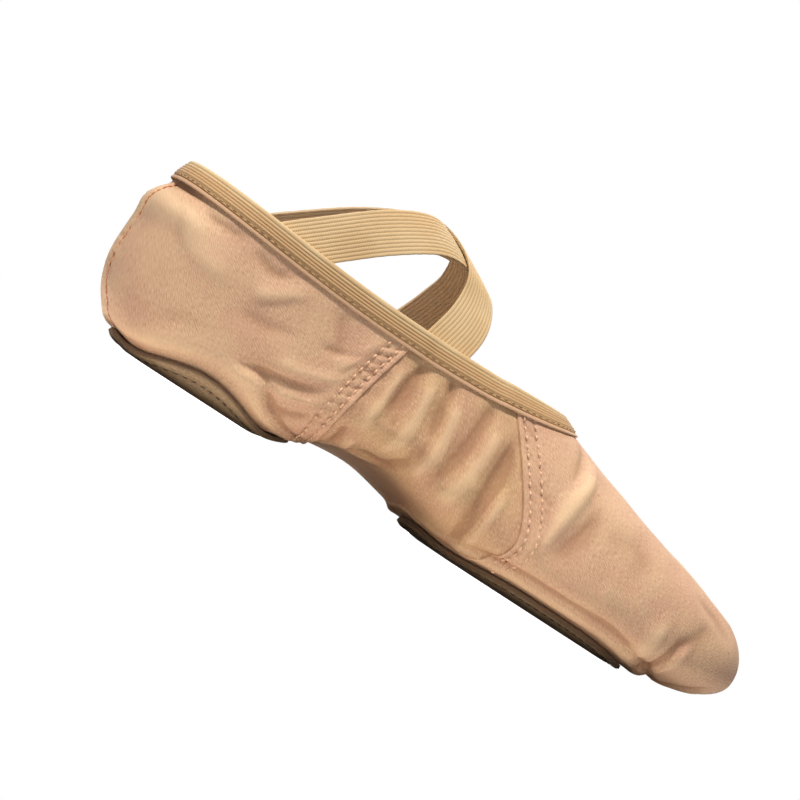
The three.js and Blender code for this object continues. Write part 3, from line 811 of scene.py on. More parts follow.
def linear(hex_colour):
    parts = [int(hex_colour[i : i + 2], 16) / 255 for i in (1, 3, 5)]
    return (*(p / 12.92 if p <= 0.04045 else ((p + 0.055) / 1.055) ** 2.4 for p in parts), 1.0)


def per_metre(size):
    return 1 / (size * MM)


def add_node(tree, kind, output=0, settings=None, **inputs):
    """Adds a node and gives one of its outputs. An input is a value, or an output to link."""
    node = tree.nodes.new(f"ShaderNode{kind}")
    for key, value in (settings or {}).items():
        setattr(node, key, value)
    for key, value in inputs.items():
        socket = node.inputs[int(key[1:]) if key[0] == "_" else key.replace("_", " ")]
        if isinstance(value, bpy.types.NodeSocket):
            tree.links.new(value, socket)
        else:
            socket.default_value = value
    return node.outputs[output]


def new_material(name):
    material = bpy.data.materials.new(name)
    material.use_nodes = True
    tree = material.node_tree
    return material, tree, tree.nodes["Principled BSDF"]


Layer = namedtuple("Layer", "value start end strength colour")


def paint(tree, colour, *layers):
    """Lays colours over a first one, each growing to its strength as a value goes from start to end."""
    for layer in layers:
        limits = {"From_Min": layer.start, "From_Max": layer.end, "To_Max": layer.strength}
        mask = add_node(tree, "MapRange", 0, SMOOTH_STEP, Value=layer.value, **limits)
        colour = add_node(tree, "Mix", 2, COLOURS, _0=mask, _6=colour, _7=linear(layer.colour))
    return colour


def set_surface(shader, links, **constants):
    """Links what varies over a surface to its shader, and sets what is the same all over it."""
    for name, output in links.items():
        shader.id_data.links.new(output, shader.inputs[name])
    for name, value in constants.items():
        shader.inputs[name.replace("_", " ")].default_value = value


print("white in linear light:", linear("#ffffff"))

# %% [markdown]
# ## Stretch canvas
# The upper is cotton canvas woven with a little stretch yarn in a fine twill. Close up it is a field of
# short, uneven diagonal flecks, over faint twill lines, and a blotchy drift between pink and tan, with the
# arch panel's darker tan as painted shade. Its folds get a painted golden highlight on their ridges and
# painted shade in their hollows. One wave texture alone looks like corduroy, so most of the weave here is
# noise stretched along the diagonal.

# %% Canvas weave
# Real twill of this kind has about 0.3 mm between its lines, too fine to show from here. So both the lines
# and the flecks are drawn coarser.
TWILL_SPACING = 0.7
FLECK_WIDTH, FLECK_LENGTH = 0.4, 1.2
TWILL_ANGLE = math.radians(58)


def canvas_weave(tree):
    cloth = add_node(tree, "UVMap")
    turned = add_node(tree, "Mapping", Vector=cloth, Rotation=(0, 0, TWILL_ANGLE))
    size = (per_metre(FLECK_WIDTH), per_metre(FLECK_LENGTH), 1)
    stretched = add_node(tree, "Mapping", Vector=turned, Scale=size)
    flecks = add_node(tree, "TexNoise", "Fac", Vector=stretched, Scale=1.0, Detail=3.0)
    scale = WAVE_PERIOD * per_metre(TWILL_SPACING)
    uneven = {"Distortion": 3.0, "Detail": 3.0, "Detail_Scale": 1.2}
    return flecks, add_node(tree, "TexWave", "Fac", BANDS, Vector=turned, Scale=scale, **uneven)


print(f"flecks {FLECK_WIDTH} by {FLECK_LENGTH} mm")

# %% Canvas colour
BLOTCH_SIZE = 14.3
PILL_SPACING = 11.8


def canvas_panels(tree, place):
    """Blotches of two tones: pinker on the heel and vamp, tan darkened as painted shade on the arch panel.
    """
    noise = {"Scale": per_metre(BLOTCH_SIZE), "Detail": 6.0, "Roughness": 0.6}
    blotch = add_node(tree, "TexNoise", "Fac", Vector=place, **noise)
    pink = paint(tree, linear("#d6ac91"), Layer(blotch, 0.36, 0.64, 1, "#dcb897"))
    # The arch panel's tan, darker than the pink, is painted shade.
    tan = paint(tree, linear("#cca283"), Layer(blotch, 0.36, 0.64, 1, "#d0ad85"))
    golden = add_node(tree, "Attribute", "Fac", {"attribute_name": "golden"})
    return add_node(tree, "Mix", 2, COLOURS, _0=golden, _6=pink, _7=tan)


def canvas_wear_and_painted_light(tree, place, panel, flecks, twill):
    """Dark between threads and pale on them, a few pills, painted highlight and shade on folds, and soil.
    """
    lines = add_node(tree, "MapRange", 0, None, Value=twill, To_Max=0.16)
    woven = add_node(tree, "Mix", 2, COLOURS, _0=lines, _6=panel, _7=linear("#b08463"))
    pills = add_node(tree, "TexVoronoi", "Distance", Vector=place, Scale=per_metre(PILL_SPACING))
    # fold is the cloth's relief, less painted shade along the laps, and drives the painted light below.
    fold = add_node(tree, "Attribute", "Fac", {"attribute_name": "fold"})
    worn_with_painted_light = paint(
        tree,
        woven,
        Layer(flecks, 0.5, 0.72, 0.52, "#ad8262"),
        Layer(flecks, 0.5, 0.3, 0.42, "#f0d8bd"),
        Layer(pills, 0.05, 0.02, 1, "#b98d6a"),
        # Painted highlight on the ridges of folds, and painted shade in their hollows and along the laps.
        Layer(fold, 0.05, 1.1, 0.45, "#f0d4ae"),
        Layer(fold, -0.05, -1.1, 0.5, "#98694b"),
    )
    soil = add_node(tree, "Attribute", "Fac", {"attribute_name": "soil"})
    return add_node(tree, "Mix", 2, COLOURS, _0=soil, _6=worn_with_painted_light, _7=linear("#a58467"))


print(f"blotches of {BLOTCH_SIZE} mm, a pill about every {PILL_SPACING} mm")

# %% Canvas


def stretch_canvas():
    """Woven cotton: quite matt, with a soft warm sheen where it turns away from the eye."""
    material, tree, shader = new_material("Stretch cotton canvas")
    flecks, twill = canvas_weave(tree)
    place = add_node(tree, "TexCoord", "Object")
    worn_with_painted_light = canvas_wear_and_painted_light(tree, place, canvas_panels(tree, place), flecks, twill)
    height = add_node(tree, "Math", 0, {"operation": "MULTIPLY_ADD"}, _0=twill, _1=0.3, _2=flecks)
    relief = add_node(tree, "Bump", Height=height, Strength=0.6, Distance=0.16 * MM)
    set_surface(
        shader,
        {"Base Color": worn_with_painted_light, "Normal": relief},
        Roughness=0.62,
        Sheen_Weight=0.15,
        Sheen_Roughness=0.4,
        Sheen_Tint=linear("#ffe6cf"),
        Specular_IOR_Level=0.32,
    )
    return material


canvas = stretch_canvas()
print("made", canvas.name)

# %% [markdown]
# ## The upper
# The shell could be three separate cloths, but it is cut and sewn into one wall, so it is one grid whose
# columns bend to follow the two seams. It runs from the outer collar round below to the inner collar.
# Ahead of the throat and behind the heel its two edges meet on top and are merged. The faces over which
# the sole patches go are deleted, as the maker leaves holes there, and Solidify adds the wall.

# %% Columns of the upper
# The number of columns in each stretch of the shoe, and how much they crowd towards its ends.
COLUMNS = {
    "tip": (14, 0.9),
    "heel": (104, 0.9),
    "arch": (42, 0.6),
    "throat": (34, 0.95),
    "vamp": (106, 0.8),
}


def crowded(count, crowding):
    """Shares from just after 0 up to 1, closer together at both ends."""
    s = np.arange(1, count + 1) / count
    return s - crowding * np.sin(2 * np.pi * s) / (2 * np.pi)


def two_runs(part, first, second):
    """Shares from 0 to 1 in two runs that meet a part of the way along."""
    return np.concatenate([[0], part * crowded(*first), part + (1 - part) * crowded(*second)])


heel_columns = two_runs(BACK_X / REAR_SEAM[-1], COLUMNS["tip"], COLUMNS["heel"])
arch_columns = np.concatenate([[0], crowded(*COLUMNS["arch"])])
throat_part = (THROAT_X - FRONT_SEAM[-1]) / (LENGTH - FRONT_SEAM[-1])
vamp_columns = two_runs(throat_part, COLUMNS["throat"], COLUMNS["vamp"])
column_share = np.concatenate([heel_columns, arch_columns, vamp_columns])
column_panel = np.repeat([0, 1, 2], [len(heel_columns), len(arch_columns), len(vamp_columns)])
print(len(column_share), "columns")

# %% Places of the upper
ROWS = 76
ROW_BEND, MOST_BEND = 0.8, 24


def row_share(x, side, level):
    """Share up the wall of a row, where rows give way to the topline mostly near the top."""
    top = topline_girth(x, side)
    bend = np.clip(ROW_BEND / np.maximum(1 - top, TINY), 1, MOST_BEND)
    return (level - (1 - top) * level**bend) / top


def upper_place(column, row):
    """Where a vertex of the grid goes, and whether it is on the arch panel."""
    panel, along = column_panel[column], column_share[column]
    side = np.where(row <= ROWS, OUTER, INNER).astype(float)
    level = share = np.abs(row - ROWS) / ROWS
    # The seam's place and the height of the row depend on each other, and settle in a few rounds.
    for _ in range(4):
        rear, front = rear_seam_x(share), front_seam_x(share)
        low = np.choose(panel, [0 * rear, rear + SEAM_STEP, front])
        high = np.choose(panel, [rear, front - SEAM_STEP, 0 * front + LENGTH])
        x = low + along * (high - low)
        share = np.clip(row_share(x, side, level), 0, 1)
    return x, side, share, panel == 1


def outline_length(x):
    """Length along the side of the last from the heel, so that the weave isn't stretched at the ends."""
    return np.interp(x, stations, path_lengths(np.stack([stations, half_width(stations)], axis=1)))


print(f"{outline_length(LENGTH):.0f} mm along the side from heel to toe")

# %% Upper
OPENING_SHARE, OPENING_TOP = 0.75, 14
LAP_SHADE, LAP_SHADE_WIDTH = 1.6, 0.5
SOIL, SOIL_TOP, SOIL_REACH = 0.3, 16, (1.16, 0.98)


def cut_openings(piece):
    """Deletes the faces that the sole patches close."""
    x, y, z = (read_vectors(piece.data.polygons, "center") / MM - SHIFT).T
    piece.data.polygons.foreach_set("select", (patch_reach(x, y) < OPENING_SHARE) & (z < OPENING_TOP))
    bpy.context.tool_settings.mesh_select_mode = (False, False, True)
    bpy.ops.object.mode_set(mode="EDIT")
    bpy.ops.mesh.delete(type="FACE")
    bpy.ops.object.mode_set(mode="OBJECT")


def thicken(piece, thickness):
    """Solidify, with the new inner face moved straight in along the vectors kept as outward."""
    solidify(piece, thickness)
    mesh = piece.data
    count = len(mesh.vertices) // 2
    places = read_vectors(mesh.vertices, "co")
    outward = read_vectors(mesh.attributes["outward"].data, "vector")
    places[count:] = places[:count] - outward[:count] * thickness * MM
    mesh.vertices.foreach_set("co", places.ravel())
    mesh.attributes.remove(mesh.attributes["outward"])
    mesh.update()


def make_upper():
    kept = {}

    def lay(column, row):
        x, side, share, arch = upper_place(column, row)
        points, kept["outward"] = cloth_point(x, side, share)
        kept["golden"] = arch.astype(float)
        # Painted shade beside each lapped edge, kept with the relief in fold for painted highlight and
        # shade.
        lap_shade = np.where(arch, hump(np.maximum(*into_laps(x, share)), 0, LAP_SHADE_WIDTH), 0)
        kept["fold"] = cloth_relief(x, side, share) - LAP_SHADE * lap_shade
        beside = smooth(patch_reach(x, points[:, 1]), *SOIL_REACH)
        kept["soil"] = SOIL * np.where(points[:, 2] < SOIL_TOP, beside, 0)
        return points, np.stack([outline_length(x), side * share * wall_length(x, side)], axis=1)

    piece = grid_piece("upper_canvas", len(column_share) - 1, 2 * ROWS, lay)
    keep_values(piece, kept)
    weld(piece)
    cut_openings(piece)
    thicken(piece, WALL + LAP)
    dress(piece, canvas, "stretch_canvas", "upper")


make_upper()

# %% [markdown]
# ## Suede patches
# Each patch is split leather with its nap outside: grey-taupe, quite matt, mottled by rubbing, with
# painted shade along its cut edge and a few dark specks. It is stitched on 3 mm inside its edge, and the
# stitches sink into a groove with painted shade in it. It could be cut from a sheet, but a grid wrapped
# into rings has its faces along the edge and the stitches.

# %% Suede
# Single fibres are about 0.05 mm, so the nap is drawn as tufts of them.
NAP_SIZE = 0.6
RUB_SIZE = 14.3
SPECK_SPACING = 8.3


def split_suede():
    """Brushed leather: no gloss, a soft pale bloom at a glancing angle, and clouds where it was rubbed."""
    material, tree, shader = new_material("Split suede leather")
    place = add_node(tree, "TexCoord", "Object")
    nap = add_node(tree, "TexNoise", "Fac", Vector=place, Scale=per_metre(NAP_SIZE), Detail=6.0)
    noise = {"Scale": per_metre(RUB_SIZE), "Detail": 5.0, "Roughness": 0.62}
    mottle = add_node(tree, "TexNoise", "Fac", Vector=place, **noise)
    specks = add_node(tree, "TexVoronoi", "Distance", Vector=place, Scale=per_metre(SPECK_SPACING))
    fibre = paint(
        tree,
        linear("#8c7459"),
        Layer(mottle, 0.34, 0.66, 1, "#a38a6d"),
        Layer(nap, 0.35, 0.7, 1, "#b39c80"),
        Layer(specks, 0.1, 0.06, 1, "#4f3d2e"),
    )
    # The edge attribute is painted shade: darker along the cut edge and in the stitch groove.
    edge = add_node(tree, "Attribute", "Fac", {"attribute_name": "edge"})
    cut = add_node(tree, "Mix", 2, COLOURS, _0=edge, _6=fibre, _7=linear("#786350"))
    relief = add_node(tree, "Bump", Height=nap, Strength=0.6, Distance=0.25 * MM)
    set_surface(
        shader,
        {"Base Color": cut, "Normal": relief},
        Roughness=0.95,
        Sheen_Weight=0.25,
        Sheen_Roughness=0.5,
        Sheen_Tint=linear("#e8d6bd"),
        Specular_IOR_Level=0.15,
    )
    return material


suede = split_suede()
print("made", suede.name)

# %% The underside of the last
SLOPE_STEP = 0.05


def under_point(x, y):
    """The underside of the last straight above a point of the floor."""
    out = y - section("centre", x)
    flat, widest = flat_half(x), section("widest", x)
    s = np.clip((np.abs(out) - flat) / (half_width(x) - flat), 0, 1)
    share = (1 - s**LOWER_POWER) ** (1 / LOWER_POWER)
    lean = ARCH_TILT * arch_share(x) * out * share
    return np.stack([x, y, widest - (widest - under_height(x)) * share - lean], axis=1)


def under_normal(x, y):
    ahead, behind = under_point(x + SLOPE_STEP, y), under_point(x - SLOPE_STEP, y)
    left, right = under_point(x, y + SLOPE_STEP), under_point(x, y - SLOPE_STEP)
    slopes = np.stack([ahead[:, 2] - behind[:, 2], left[:, 2] - right[:, 2]]) / (2 * SLOPE_STEP)
    return unit(np.stack([*slopes, -np.ones_like(x)], axis=1))


def off_underside(x, y, offset):
    return under_point(x, y) + under_normal(x, y) * np.broadcast_to(offset, x.shape)[:, None]


middle = np.array([HEEL_PATCH.middle])
print(f"the underside lies at {under_point(middle, 0 * middle)[0, 2]:.2f} mm over the heel patch")

# %% Ovals


def oval_point(oval, turn, share):
    def rounded(value):
        return np.sign(value) * np.abs(value) ** (2 / oval.power)

    x = oval.middle + share * oval.half_length * rounded(np.cos(turn))
    width = oval.half_width * (1 + oval.taper * np.cos(turn))
    return x, section("centre", x) + share * width * rounded(np.sin(turn))


def oval_edge(oval, share=1.0):
    """Fine turns round an oval, and the length of its edge up to each."""
    turns = np.linspace(0, 2 * np.pi, 4001)
    return turns, path_lengths(np.stack(oval_point(oval, turns, share), axis=1))


def even_turns(oval, count, share=1.0):
    """Turns that step evenly along an oval's edge."""
    turns, lengths = oval_edge(oval, share)
    return np.interp(np.linspace(0, lengths[-1], count + 1), lengths, turns)


print(f"the forefoot patch is {oval_edge(FOREFOOT_PATCH)[1][-1]:.0f} mm round")

# %% Patches
STITCH_INSET = 3.0
PATCH_SPOKES, PATCH_RINGS = 260, 44
GROOVE_DEPTH, GROOVE_WIDTH, GROOVE_BEAT, GROOVE_PAINTED_SHADE = 0.45, 0.024, 0.2, 1.1
EDGE_ROUNDING, EDGE_FROM, EDGE_SHADE_TO = 0.35, 0.975, 0.997


def stitch_share(oval):
    """How far out the stitches lie, as a share of the oval's size."""
    return 1 - STITCH_INSET / ((oval.half_length + oval.half_width) / 2)


def make_patch(name, node, oval):
    turns = even_turns(oval, PATCH_SPOKES)
    stitches = round(oval_edge(oval)[1][-1] / STITCH_PITCH)
    kept = {}

    def lay(column, row):
        share = np.sin(0.5 * np.pi * row / PATCH_RINGS)
        x, y = oval_point(oval, turns[column], share)
        groove = GROOVE_DEPTH * hump(share, stitch_share(oval), GROOVE_WIDTH)
        beat = np.cos(2 * np.pi * column / PATCH_SPOKES * stitches)
        groove *= 1 - GROOVE_BEAT + GROOVE_BEAT * beat
        # Painted shade: on the cut edge, and in the stitch groove as deep as it sinks.
        kept["edge"] = np.maximum(smooth(share, EDGE_FROM, EDGE_SHADE_TO), GROOVE_PAINTED_SHADE * groove)
        rounded = EDGE_ROUNDING * smooth(share, EDGE_FROM, 1.0)
        return off_underside(x, y, LIFT - groove - rounded), np.stack([x, y], axis=1)

    piece = grid_piece(name, PATCH_SPOKES, PATCH_RINGS, lay)
    keep_values(piece, kept)
    weld(piece)
    solidify(piece, SOLE_THICKNESS - EDGE_ROUNDING)
    dress(piece, suede, "suede", node)


make_patch("suede_heel_patch", "sole_patch_heel", HEEL_PATCH)
make_patch("suede_forefoot_patch", "sole_patch_forefoot", FOREFOOT_PATCH)

# %% [markdown]
# ## Insoles
# Inside, a thin brushed cotton sock lining lies over each opening. It could be a flat sheet, but the
# underside of the last is curved, so it is the same kind of oval as the patch below, turned to face up.

# %% Sock lining
# A brushed fibre is far finer than this, so the fluff is drawn in tufts.
FLUFF_SIZE = 1.11
LINING_DRIFT = 22.2


def sock_lining():
    """Brushed cotton: pale, matt and a little fluffy."""
    material, tree, shader = new_material("Brushed cotton sock lining")
    place = add_node(tree, "TexCoord", "Object")
    nap = add_node(tree, "TexNoise", "Fac", Vector=place, Scale=per_metre(FLUFF_SIZE), Detail=5.0)
    drift = add_node(tree, "TexNoise", "Fac", Vector=place, Scale=per_metre(LINING_DRIFT), Detail=4.0)
    tone = Layer(drift, 0.35, 0.65, 1, "#d6bd9e")
    fuzzy = paint(tree, linear("#e2cdb2"), tone, Layer(nap, 0.4, 0.7, 1, "#efdfca"))
    relief = add_node(tree, "Bump", Height=nap, Strength=0.4, Distance=0.15 * MM)
    set_surface(shader, {"Base Color": fuzzy, "Normal": relief}, Roughness=0.9, Sheen_Weight=0.2)
    return material


lining = sock_lining()
print("made", lining.name)

# %% Insoles
HEEL_INSOLE = Oval(48, 31, 20, 2.2, -0.1)
FOREFOOT_INSOLE = Oval(169, 46, 29, 2.3, 0.04)
INSOLE_SPOKES, INSOLE_RINGS = 160, 16
INSOLE_ROUNDING, INSOLE_EDGE_FROM = 0.3, 0.96


def make_insole(name, node, oval):
    turns = even_turns(oval, INSOLE_SPOKES)

    def lay(column, row):
        share = np.sin(0.5 * np.pi * row / INSOLE_RINGS)
        x, y = oval_point(oval, -turns[column], share)
        rounded = INSOLE_ROUNDING * smooth(share, INSOLE_EDGE_FROM, 1.0)
        offset = rounded - (WALL + SHEET_GAP + INSOLE_THICKNESS)
        return off_underside(x, y, offset), np.stack([x, y], axis=1)

    piece = grid_piece(name, INSOLE_SPOKES, INSOLE_RINGS, lay)
    weld(piece)
    solidify(piece, INSOLE_THICKNESS - INSOLE_ROUNDING)
    dress(piece, lining, "sock_lining", node)


make_insole("sock_heel_insole", "insole_heel", HEEL_INSOLE)
make_insole("sock_forefoot_insole", "insole_forefoot", FOREFOOT_INSOLE)

# %% [markdown]
# ## Ribbed elastic
# The binding and the instep straps are woven elastic: rubber cores wrapped in cream yarn lie side by side
# as lengthwise ribs, with fine cross threads between them. The ribs are large enough to be real shape, and
# the cross threads are bump. The UV map runs along the tape and across it in millimetres.

# %% Elastic
CROSS_THREAD = 0.55
YARN_DRIFT = 16.7
# What a tape keeps for each of its points: yarn warmer and darker below the binding's top edge, painted
# shade in the grooves between ribs and on the stitches, its fluffy back, and the canvas turned over its
# edge.
ELASTIC_MARKS = ("warm", "groove", "plush", "canvas_edge")


def ribbed_elastic():
    """Wrapped rubber: cream ribs with painted shade in the grooves, matt, with a faint shine of the yarn.
    """
    material, tree, shader = new_material("Ribbed elastic webbing")
    place = add_node(tree, "TexCoord", "Object")
    wave = {"Scale": WAVE_PERIOD * per_metre(CROSS_THREAD), "Distortion": 0.8, "Detail": 2.0}
    threads = add_node(tree, "TexWave", "Fac", BANDS, Vector=add_node(tree, "UVMap"), **wave)
    drift = add_node(tree, "TexNoise", "Fac", Vector=place, Scale=per_metre(YARN_DRIFT), Detail=4.0)
    base = paint(tree, linear("#d2b68c"), Layer(drift, 0.35, 0.65, 1, "#dac29a"))
    crossed = add_node(tree, "MapRange", 0, None, Value=threads, To_Max=0.18)
    warm, groove, plush, turned = (
        add_node(tree, "Attribute", "Fac", {"attribute_name": name}) for name in ELASTIC_MARKS
    )
    layers = (
        (warm, "#c8a57c"),
        (crossed, "#bd9665"),
        # Painted shade in the grooves between ribs, on the stitched band and under the turned canvas edge.
        (groove, "#a9824f"),
        (plush, "#e9d8ba"),
        (turned, "#cfaa8a"),
    )
    for mark, colour in layers:
        base = add_node(tree, "Mix", 2, COLOURS, _0=mark, _6=base, _7=linear(colour))
    relief = add_node(tree, "Bump", Height=threads, Strength=0.35, Distance=0.1 * MM)
    set_surface(
        shader,
        {"Base Color": base, "Normal": relief},
        Roughness=0.72,
        Sheen_Weight=0.15,
        Sheen_Roughness=0.4,
        Specular_IOR_Level=0.3,
    )
    return material


elastic = ribbed_elastic()
print("made", elastic.name)

# %% [markdown]
# ## The collar binding
# The binding is a strip folded over the cut edge of the canvas, so its cross-section is an upside-down U.
# From its top down, the outside shows five ribs that widen downwards, a flatter stitched band, and the thin
# turned edge of the canvas. It could be a curve with a bevel, but the wall leans all the way round, so each
# ring of the cross-section is reached by walking down the wall.

# %% Round the collar
LOOP_STEPS = 420
LAP_EASE = 6
Collar = namedtuple("Collar", "place points outward down length")


def collar_ring():
    """Places evenly round the collar, from the back along the inner side and home along the outer one."""
    s = np.linspace(0, 1, 700)
    x = BACK_X + (THROAT_X - BACK_X) * (1 - np.cos(np.pi * s)) / 2
    x = np.concatenate([x, x[-2::-1]])
    number = np.arange(len(x))
    side = np.where(number < len(s), INNER, OUTER).astype(float)
    lengths = path_lengths(last_point(x, side, topline_girth(x, side)))
    at = np.interp(np.linspace(0, lengths[-1], LOOP_STEPS + 1)[:-1], lengths, number)
    x = np.interp(at, number, x)
    side = np.where(at < len(s) - 1, INNER, OUTER).astype(float)
    return (x, side, topline_girth(x, side)), lengths[-1]


def make_collar():
    place, length = collar_ring()
    points, outward = last_point(*place), last_normal(*place)
    ahead = np.roll(points, -1, axis=0) - np.roll(points, 1, axis=0)
    return Collar(place, points, outward, unit(np.cross(ahead, outward)), length)


collar = make_collar()
collar_x = collar.place[0]
into_arch = np.minimum(collar_x - REAR_SEAM[-1], FRONT_SEAM[-1] - collar_x)
collar_face = LAP * (1 - smooth(into_arch, 0, LAP_EASE)) + GAP
print(f"the collar is {collar.length:.0f} mm round")

# %% Cross-section of the binding
BINDING_OUTSIDE = 7.0
BINDING_INSIDE = 6.0
BINDING_RIBS, RIB_SPREAD, RIB_ROUNDNESS = 5, 1.25, 0.6
BINDING_RIB_FROM, BINDING_RIB_TO = -0.8, 4.5
RIB_HEIGHT, BAND_HEIGHT, BINDING_BASE = 0.3, 0.3, 0.7
GROOVE_SHADE, GROOVE_TO = 0.7, 0.45
STITCH_DROP, SEWN_WIDTH, SEWN_DEPTH, SEWN_SHADE = 5.05, 0.35, 0.2, 0.45
CANVAS_EDGE, CANVAS_BLUR, CANVAS_SET_IN = 5.7, 0.1, 0.2
CANVAS_LINE, CANVAS_LINE_WIDTH = 0.3, 0.22
RIM, RIM_STEP, RIM_DEPTH = 0.3, 0.12, 0.2
WARM_FROM, WARM_TO = 0.4, 2.2
ROOF_FROM, ROOF_RISE, ROOF_ROUNDNESS = 0.6, 0.75, 0.6
OUTSIDE_STEPS, ROOF_STEPS, INSIDE_STEPS = 52, 8, 16


def binding_section():
    """For the outside of the fold: drops down the wall, how far out of it, and the marks on it."""
    ribbed = np.linspace(BINDING_OUTSIDE - RIM, -ROOF_FROM, OUTSIDE_STEPS)
    drops = np.concatenate([[BINDING_OUTSIDE, BINDING_OUTSIDE - RIM_STEP], ribbed])
    down = np.clip((drops - BINDING_RIB_FROM) / (BINDING_RIB_TO - BINDING_RIB_FROM), 0, 2)
    rib = BINDING_RIBS * down**RIB_SPREAD
    on_rib = (rib > 0) & (rib < BINDING_RIBS)
    height = np.abs(np.sin(np.pi * rib))
    wave = np.where(on_rib, height**RIB_ROUNDNESS, BAND_HEIGHT)
    turned = smooth(drops, CANVAS_EDGE - CANVAS_BLUR, CANVAS_EDGE + CANVAS_BLUR)
    line = hump(drops, CANVAS_EDGE, CANVAS_LINE_WIDTH)
    sewn = hump(drops, STITCH_DROP, SEWN_WIDTH)
    rim = smooth(drops, BINDING_OUTSIDE - RIM, BINDING_OUTSIDE)
    out = BINDING_BASE + RIB_HEIGHT * wave * (1 - turned) - CANVAS_SET_IN * turned
    out -= CANVAS_LINE * line + SEWN_DEPTH * sewn + RIM_DEPTH * rim
    # Painted shade in the rib grooves and on the stitched band, and a painted shadow line under the canvas
    # edge.
    groove = np.where(on_rib, GROOVE_SHADE * smooth(height, GROOVE_TO, 0), 0)
    groove = np.maximum(np.maximum(groove, SEWN_SHADE * sewn), line)
    warm = smooth(drops, WARM_FROM, WARM_TO)
    return drops, out, {"groove": groove, "canvas_edge": turned, "warm": warm}


def binding_path(drops, out):
    """Every drop and offset round the cross-section: outside, roof, inside, and back along the canvas."""
    far = -(WALL + SHEET_GAP)
    inner = far - ELASTIC_THICKNESS
    path = [(drop, collar_face + reach) for drop, reach in zip(drops, out)]
    for s in np.linspace(0, 1, ROOF_STEPS + 1)[1:-1]:
        rise = ROOF_FROM + ROOF_RISE * math.sin(math.pi * s) ** ROOF_ROUNDNESS
        path.append((-rise, (collar_face + out[-1]) * (1 - s) + inner * s))
    path += [(drop, inner) for drop in np.linspace(-ROOF_FROM, BINDING_INSIDE, INSIDE_STEPS)]
    path += [(drop, far) for drop in (BINDING_INSIDE, BINDING_INSIDE / 2, 0.0, -GAP)]
    path += [(drop, collar_face) for drop in (-GAP, 0.0, BINDING_OUTSIDE / 2, BINDING_OUTSIDE)]
    return path + path[:1]


print(BINDING_RIBS, "ribs over", BINDING_OUTSIDE, "mm")

# %% Binding


def down_collar(drop, offset):
    """Points round the collar, a drop down the wall and an offset out of it."""
    if drop > 0:
        return off_last(*walk_on_last(*collar.place, collar.down, drop), offset)
    return collar.points + collar.outward * np.atleast_1d(offset)[:, None] + collar.down * drop


def make_binding():
    drops, out, marks = binding_section()
    rings = np.array([down_collar(*step) for step in binding_path(drops, out)])
    plain = np.zeros(len(rings) - len(drops))
    height = path_lengths(rings[:, 0])
    kept = {}

    def lay(column, row):
        for name, values in marks.items():
            kept[name] = np.concatenate([values, plain])[row]
        cloth = np.stack([column * collar.length / LOOP_STEPS, height[row]], axis=1)
        return rings[row, column % LOOP_STEPS], cloth

    piece = grid_piece("elastic_collar_binding", LOOP_STEPS, len(rings) - 1, lay)
    keep_values(piece, kept)
    weld(piece)
    dress(piece, elastic, "ribbed_elastic", "topline_binding")


make_binding()

# %% [markdown]
# ## The crossed straps
# Each strap is a 15 mm elastic. It leaves the inside of the collar towards the heel on one side, crosses
# the crest of the instep and goes down inside the collar further forward on the other side. One strap lies
# over the other. A curve with a flat bevel would twist, so the strap is a grid along a smooth line through
# a few places on the last, and its edges are found by walking to the side of that line.

# %% The line of a strap
STRAP_WIDTH = 15
STRAP_CLIMB = 30
STRAP_STEPS = 190
# How far along the last, and how far up from the collar: 1 is the crest, 2 the other side's collar.
STRAP_PATH = np.array(
    [
        (33, -0.2),
        (41, 0),
        (59, 0.33),
        (79, 0.67),
        (96, 1),
        (102, 1.33),
        (101, 1.67),
        (97, 2),
        (94, 2.24),
    ]
)


def spline_points(knots, count):
    """Even points on a Catmull-Rom curve through the knots."""
    ends = np.vstack([knots[:1], knots, knots[-1:]])
    t = np.linspace(0, 1, 60, endpoint=False)[:, None]
    runs = []
    for p0, p1, p2, p3 in zip(ends, ends[1:], ends[2:], ends[3:]):
        v0, v1 = (p2 - p0) / 2, (p3 - p1) / 2
        cubic, square = 2 * p1 - 2 * p2 + v0 + v1, -3 * p1 + 3 * p2 - 2 * v0 - v1
        runs.append(cubic * t**3 + square * t**2 + v0 * t + p1)
    fine = np.vstack([*runs, knots[-1:]])
    lengths = path_lengths(fine)
    at = np.linspace(0, lengths[-1], count)
    return np.stack([np.interp(at, lengths, fine[:, 0]), np.interp(at, lengths, fine[:, 1])], axis=1)


def strap_line(start_side):
    """A strap's middle line: its places on the last, their points and the way across the strap."""
    x, climb = (spline_points(STRAP_PATH * (1, STRAP_CLIMB), STRAP_STEPS + 1) / (1, STRAP_CLIMB)).T
    side = np.where(climb <= 1, start_side, -start_side).astype(float)
    start = topline_girth(x, side)
    place = x, side, start + (1 - start) * np.where(climb <= 1, climb, 2 - climb)
    points = last_point(*place)
    return place, points, unit(np.cross(last_normal(*place), np.gradient(points, axis=0)))


def aside(place, across, step):
    """Places a step to the side of others, on the surface of the last."""
    if abs(step) < TINY:
        return place
    return walk_on_last(*place, across * np.sign(step), abs(step))


print(f"a strap is {path_lengths(strap_line(INNER)[1])[-1]:.0f} mm long")

# %% Straps
STRAP_RIBS = 12
STRAP_ACROSS = STRAP_RIBS * 6
STRAP_HUMP = 22
STRAP_RIB_DEPTH, STRAP_RIB_ROUNDNESS = 0.22, 0.45
STRAP_GROOVE_SHADE, STRAP_GROOVE_TO = 0.55, 0.42
STRAP_THICKNESS = ELASTIC_THICKNESS - 0.1
STRAP_FACE = -(WALL + SHEET_GAP + GAP + ELASTIC_THICKNESS)


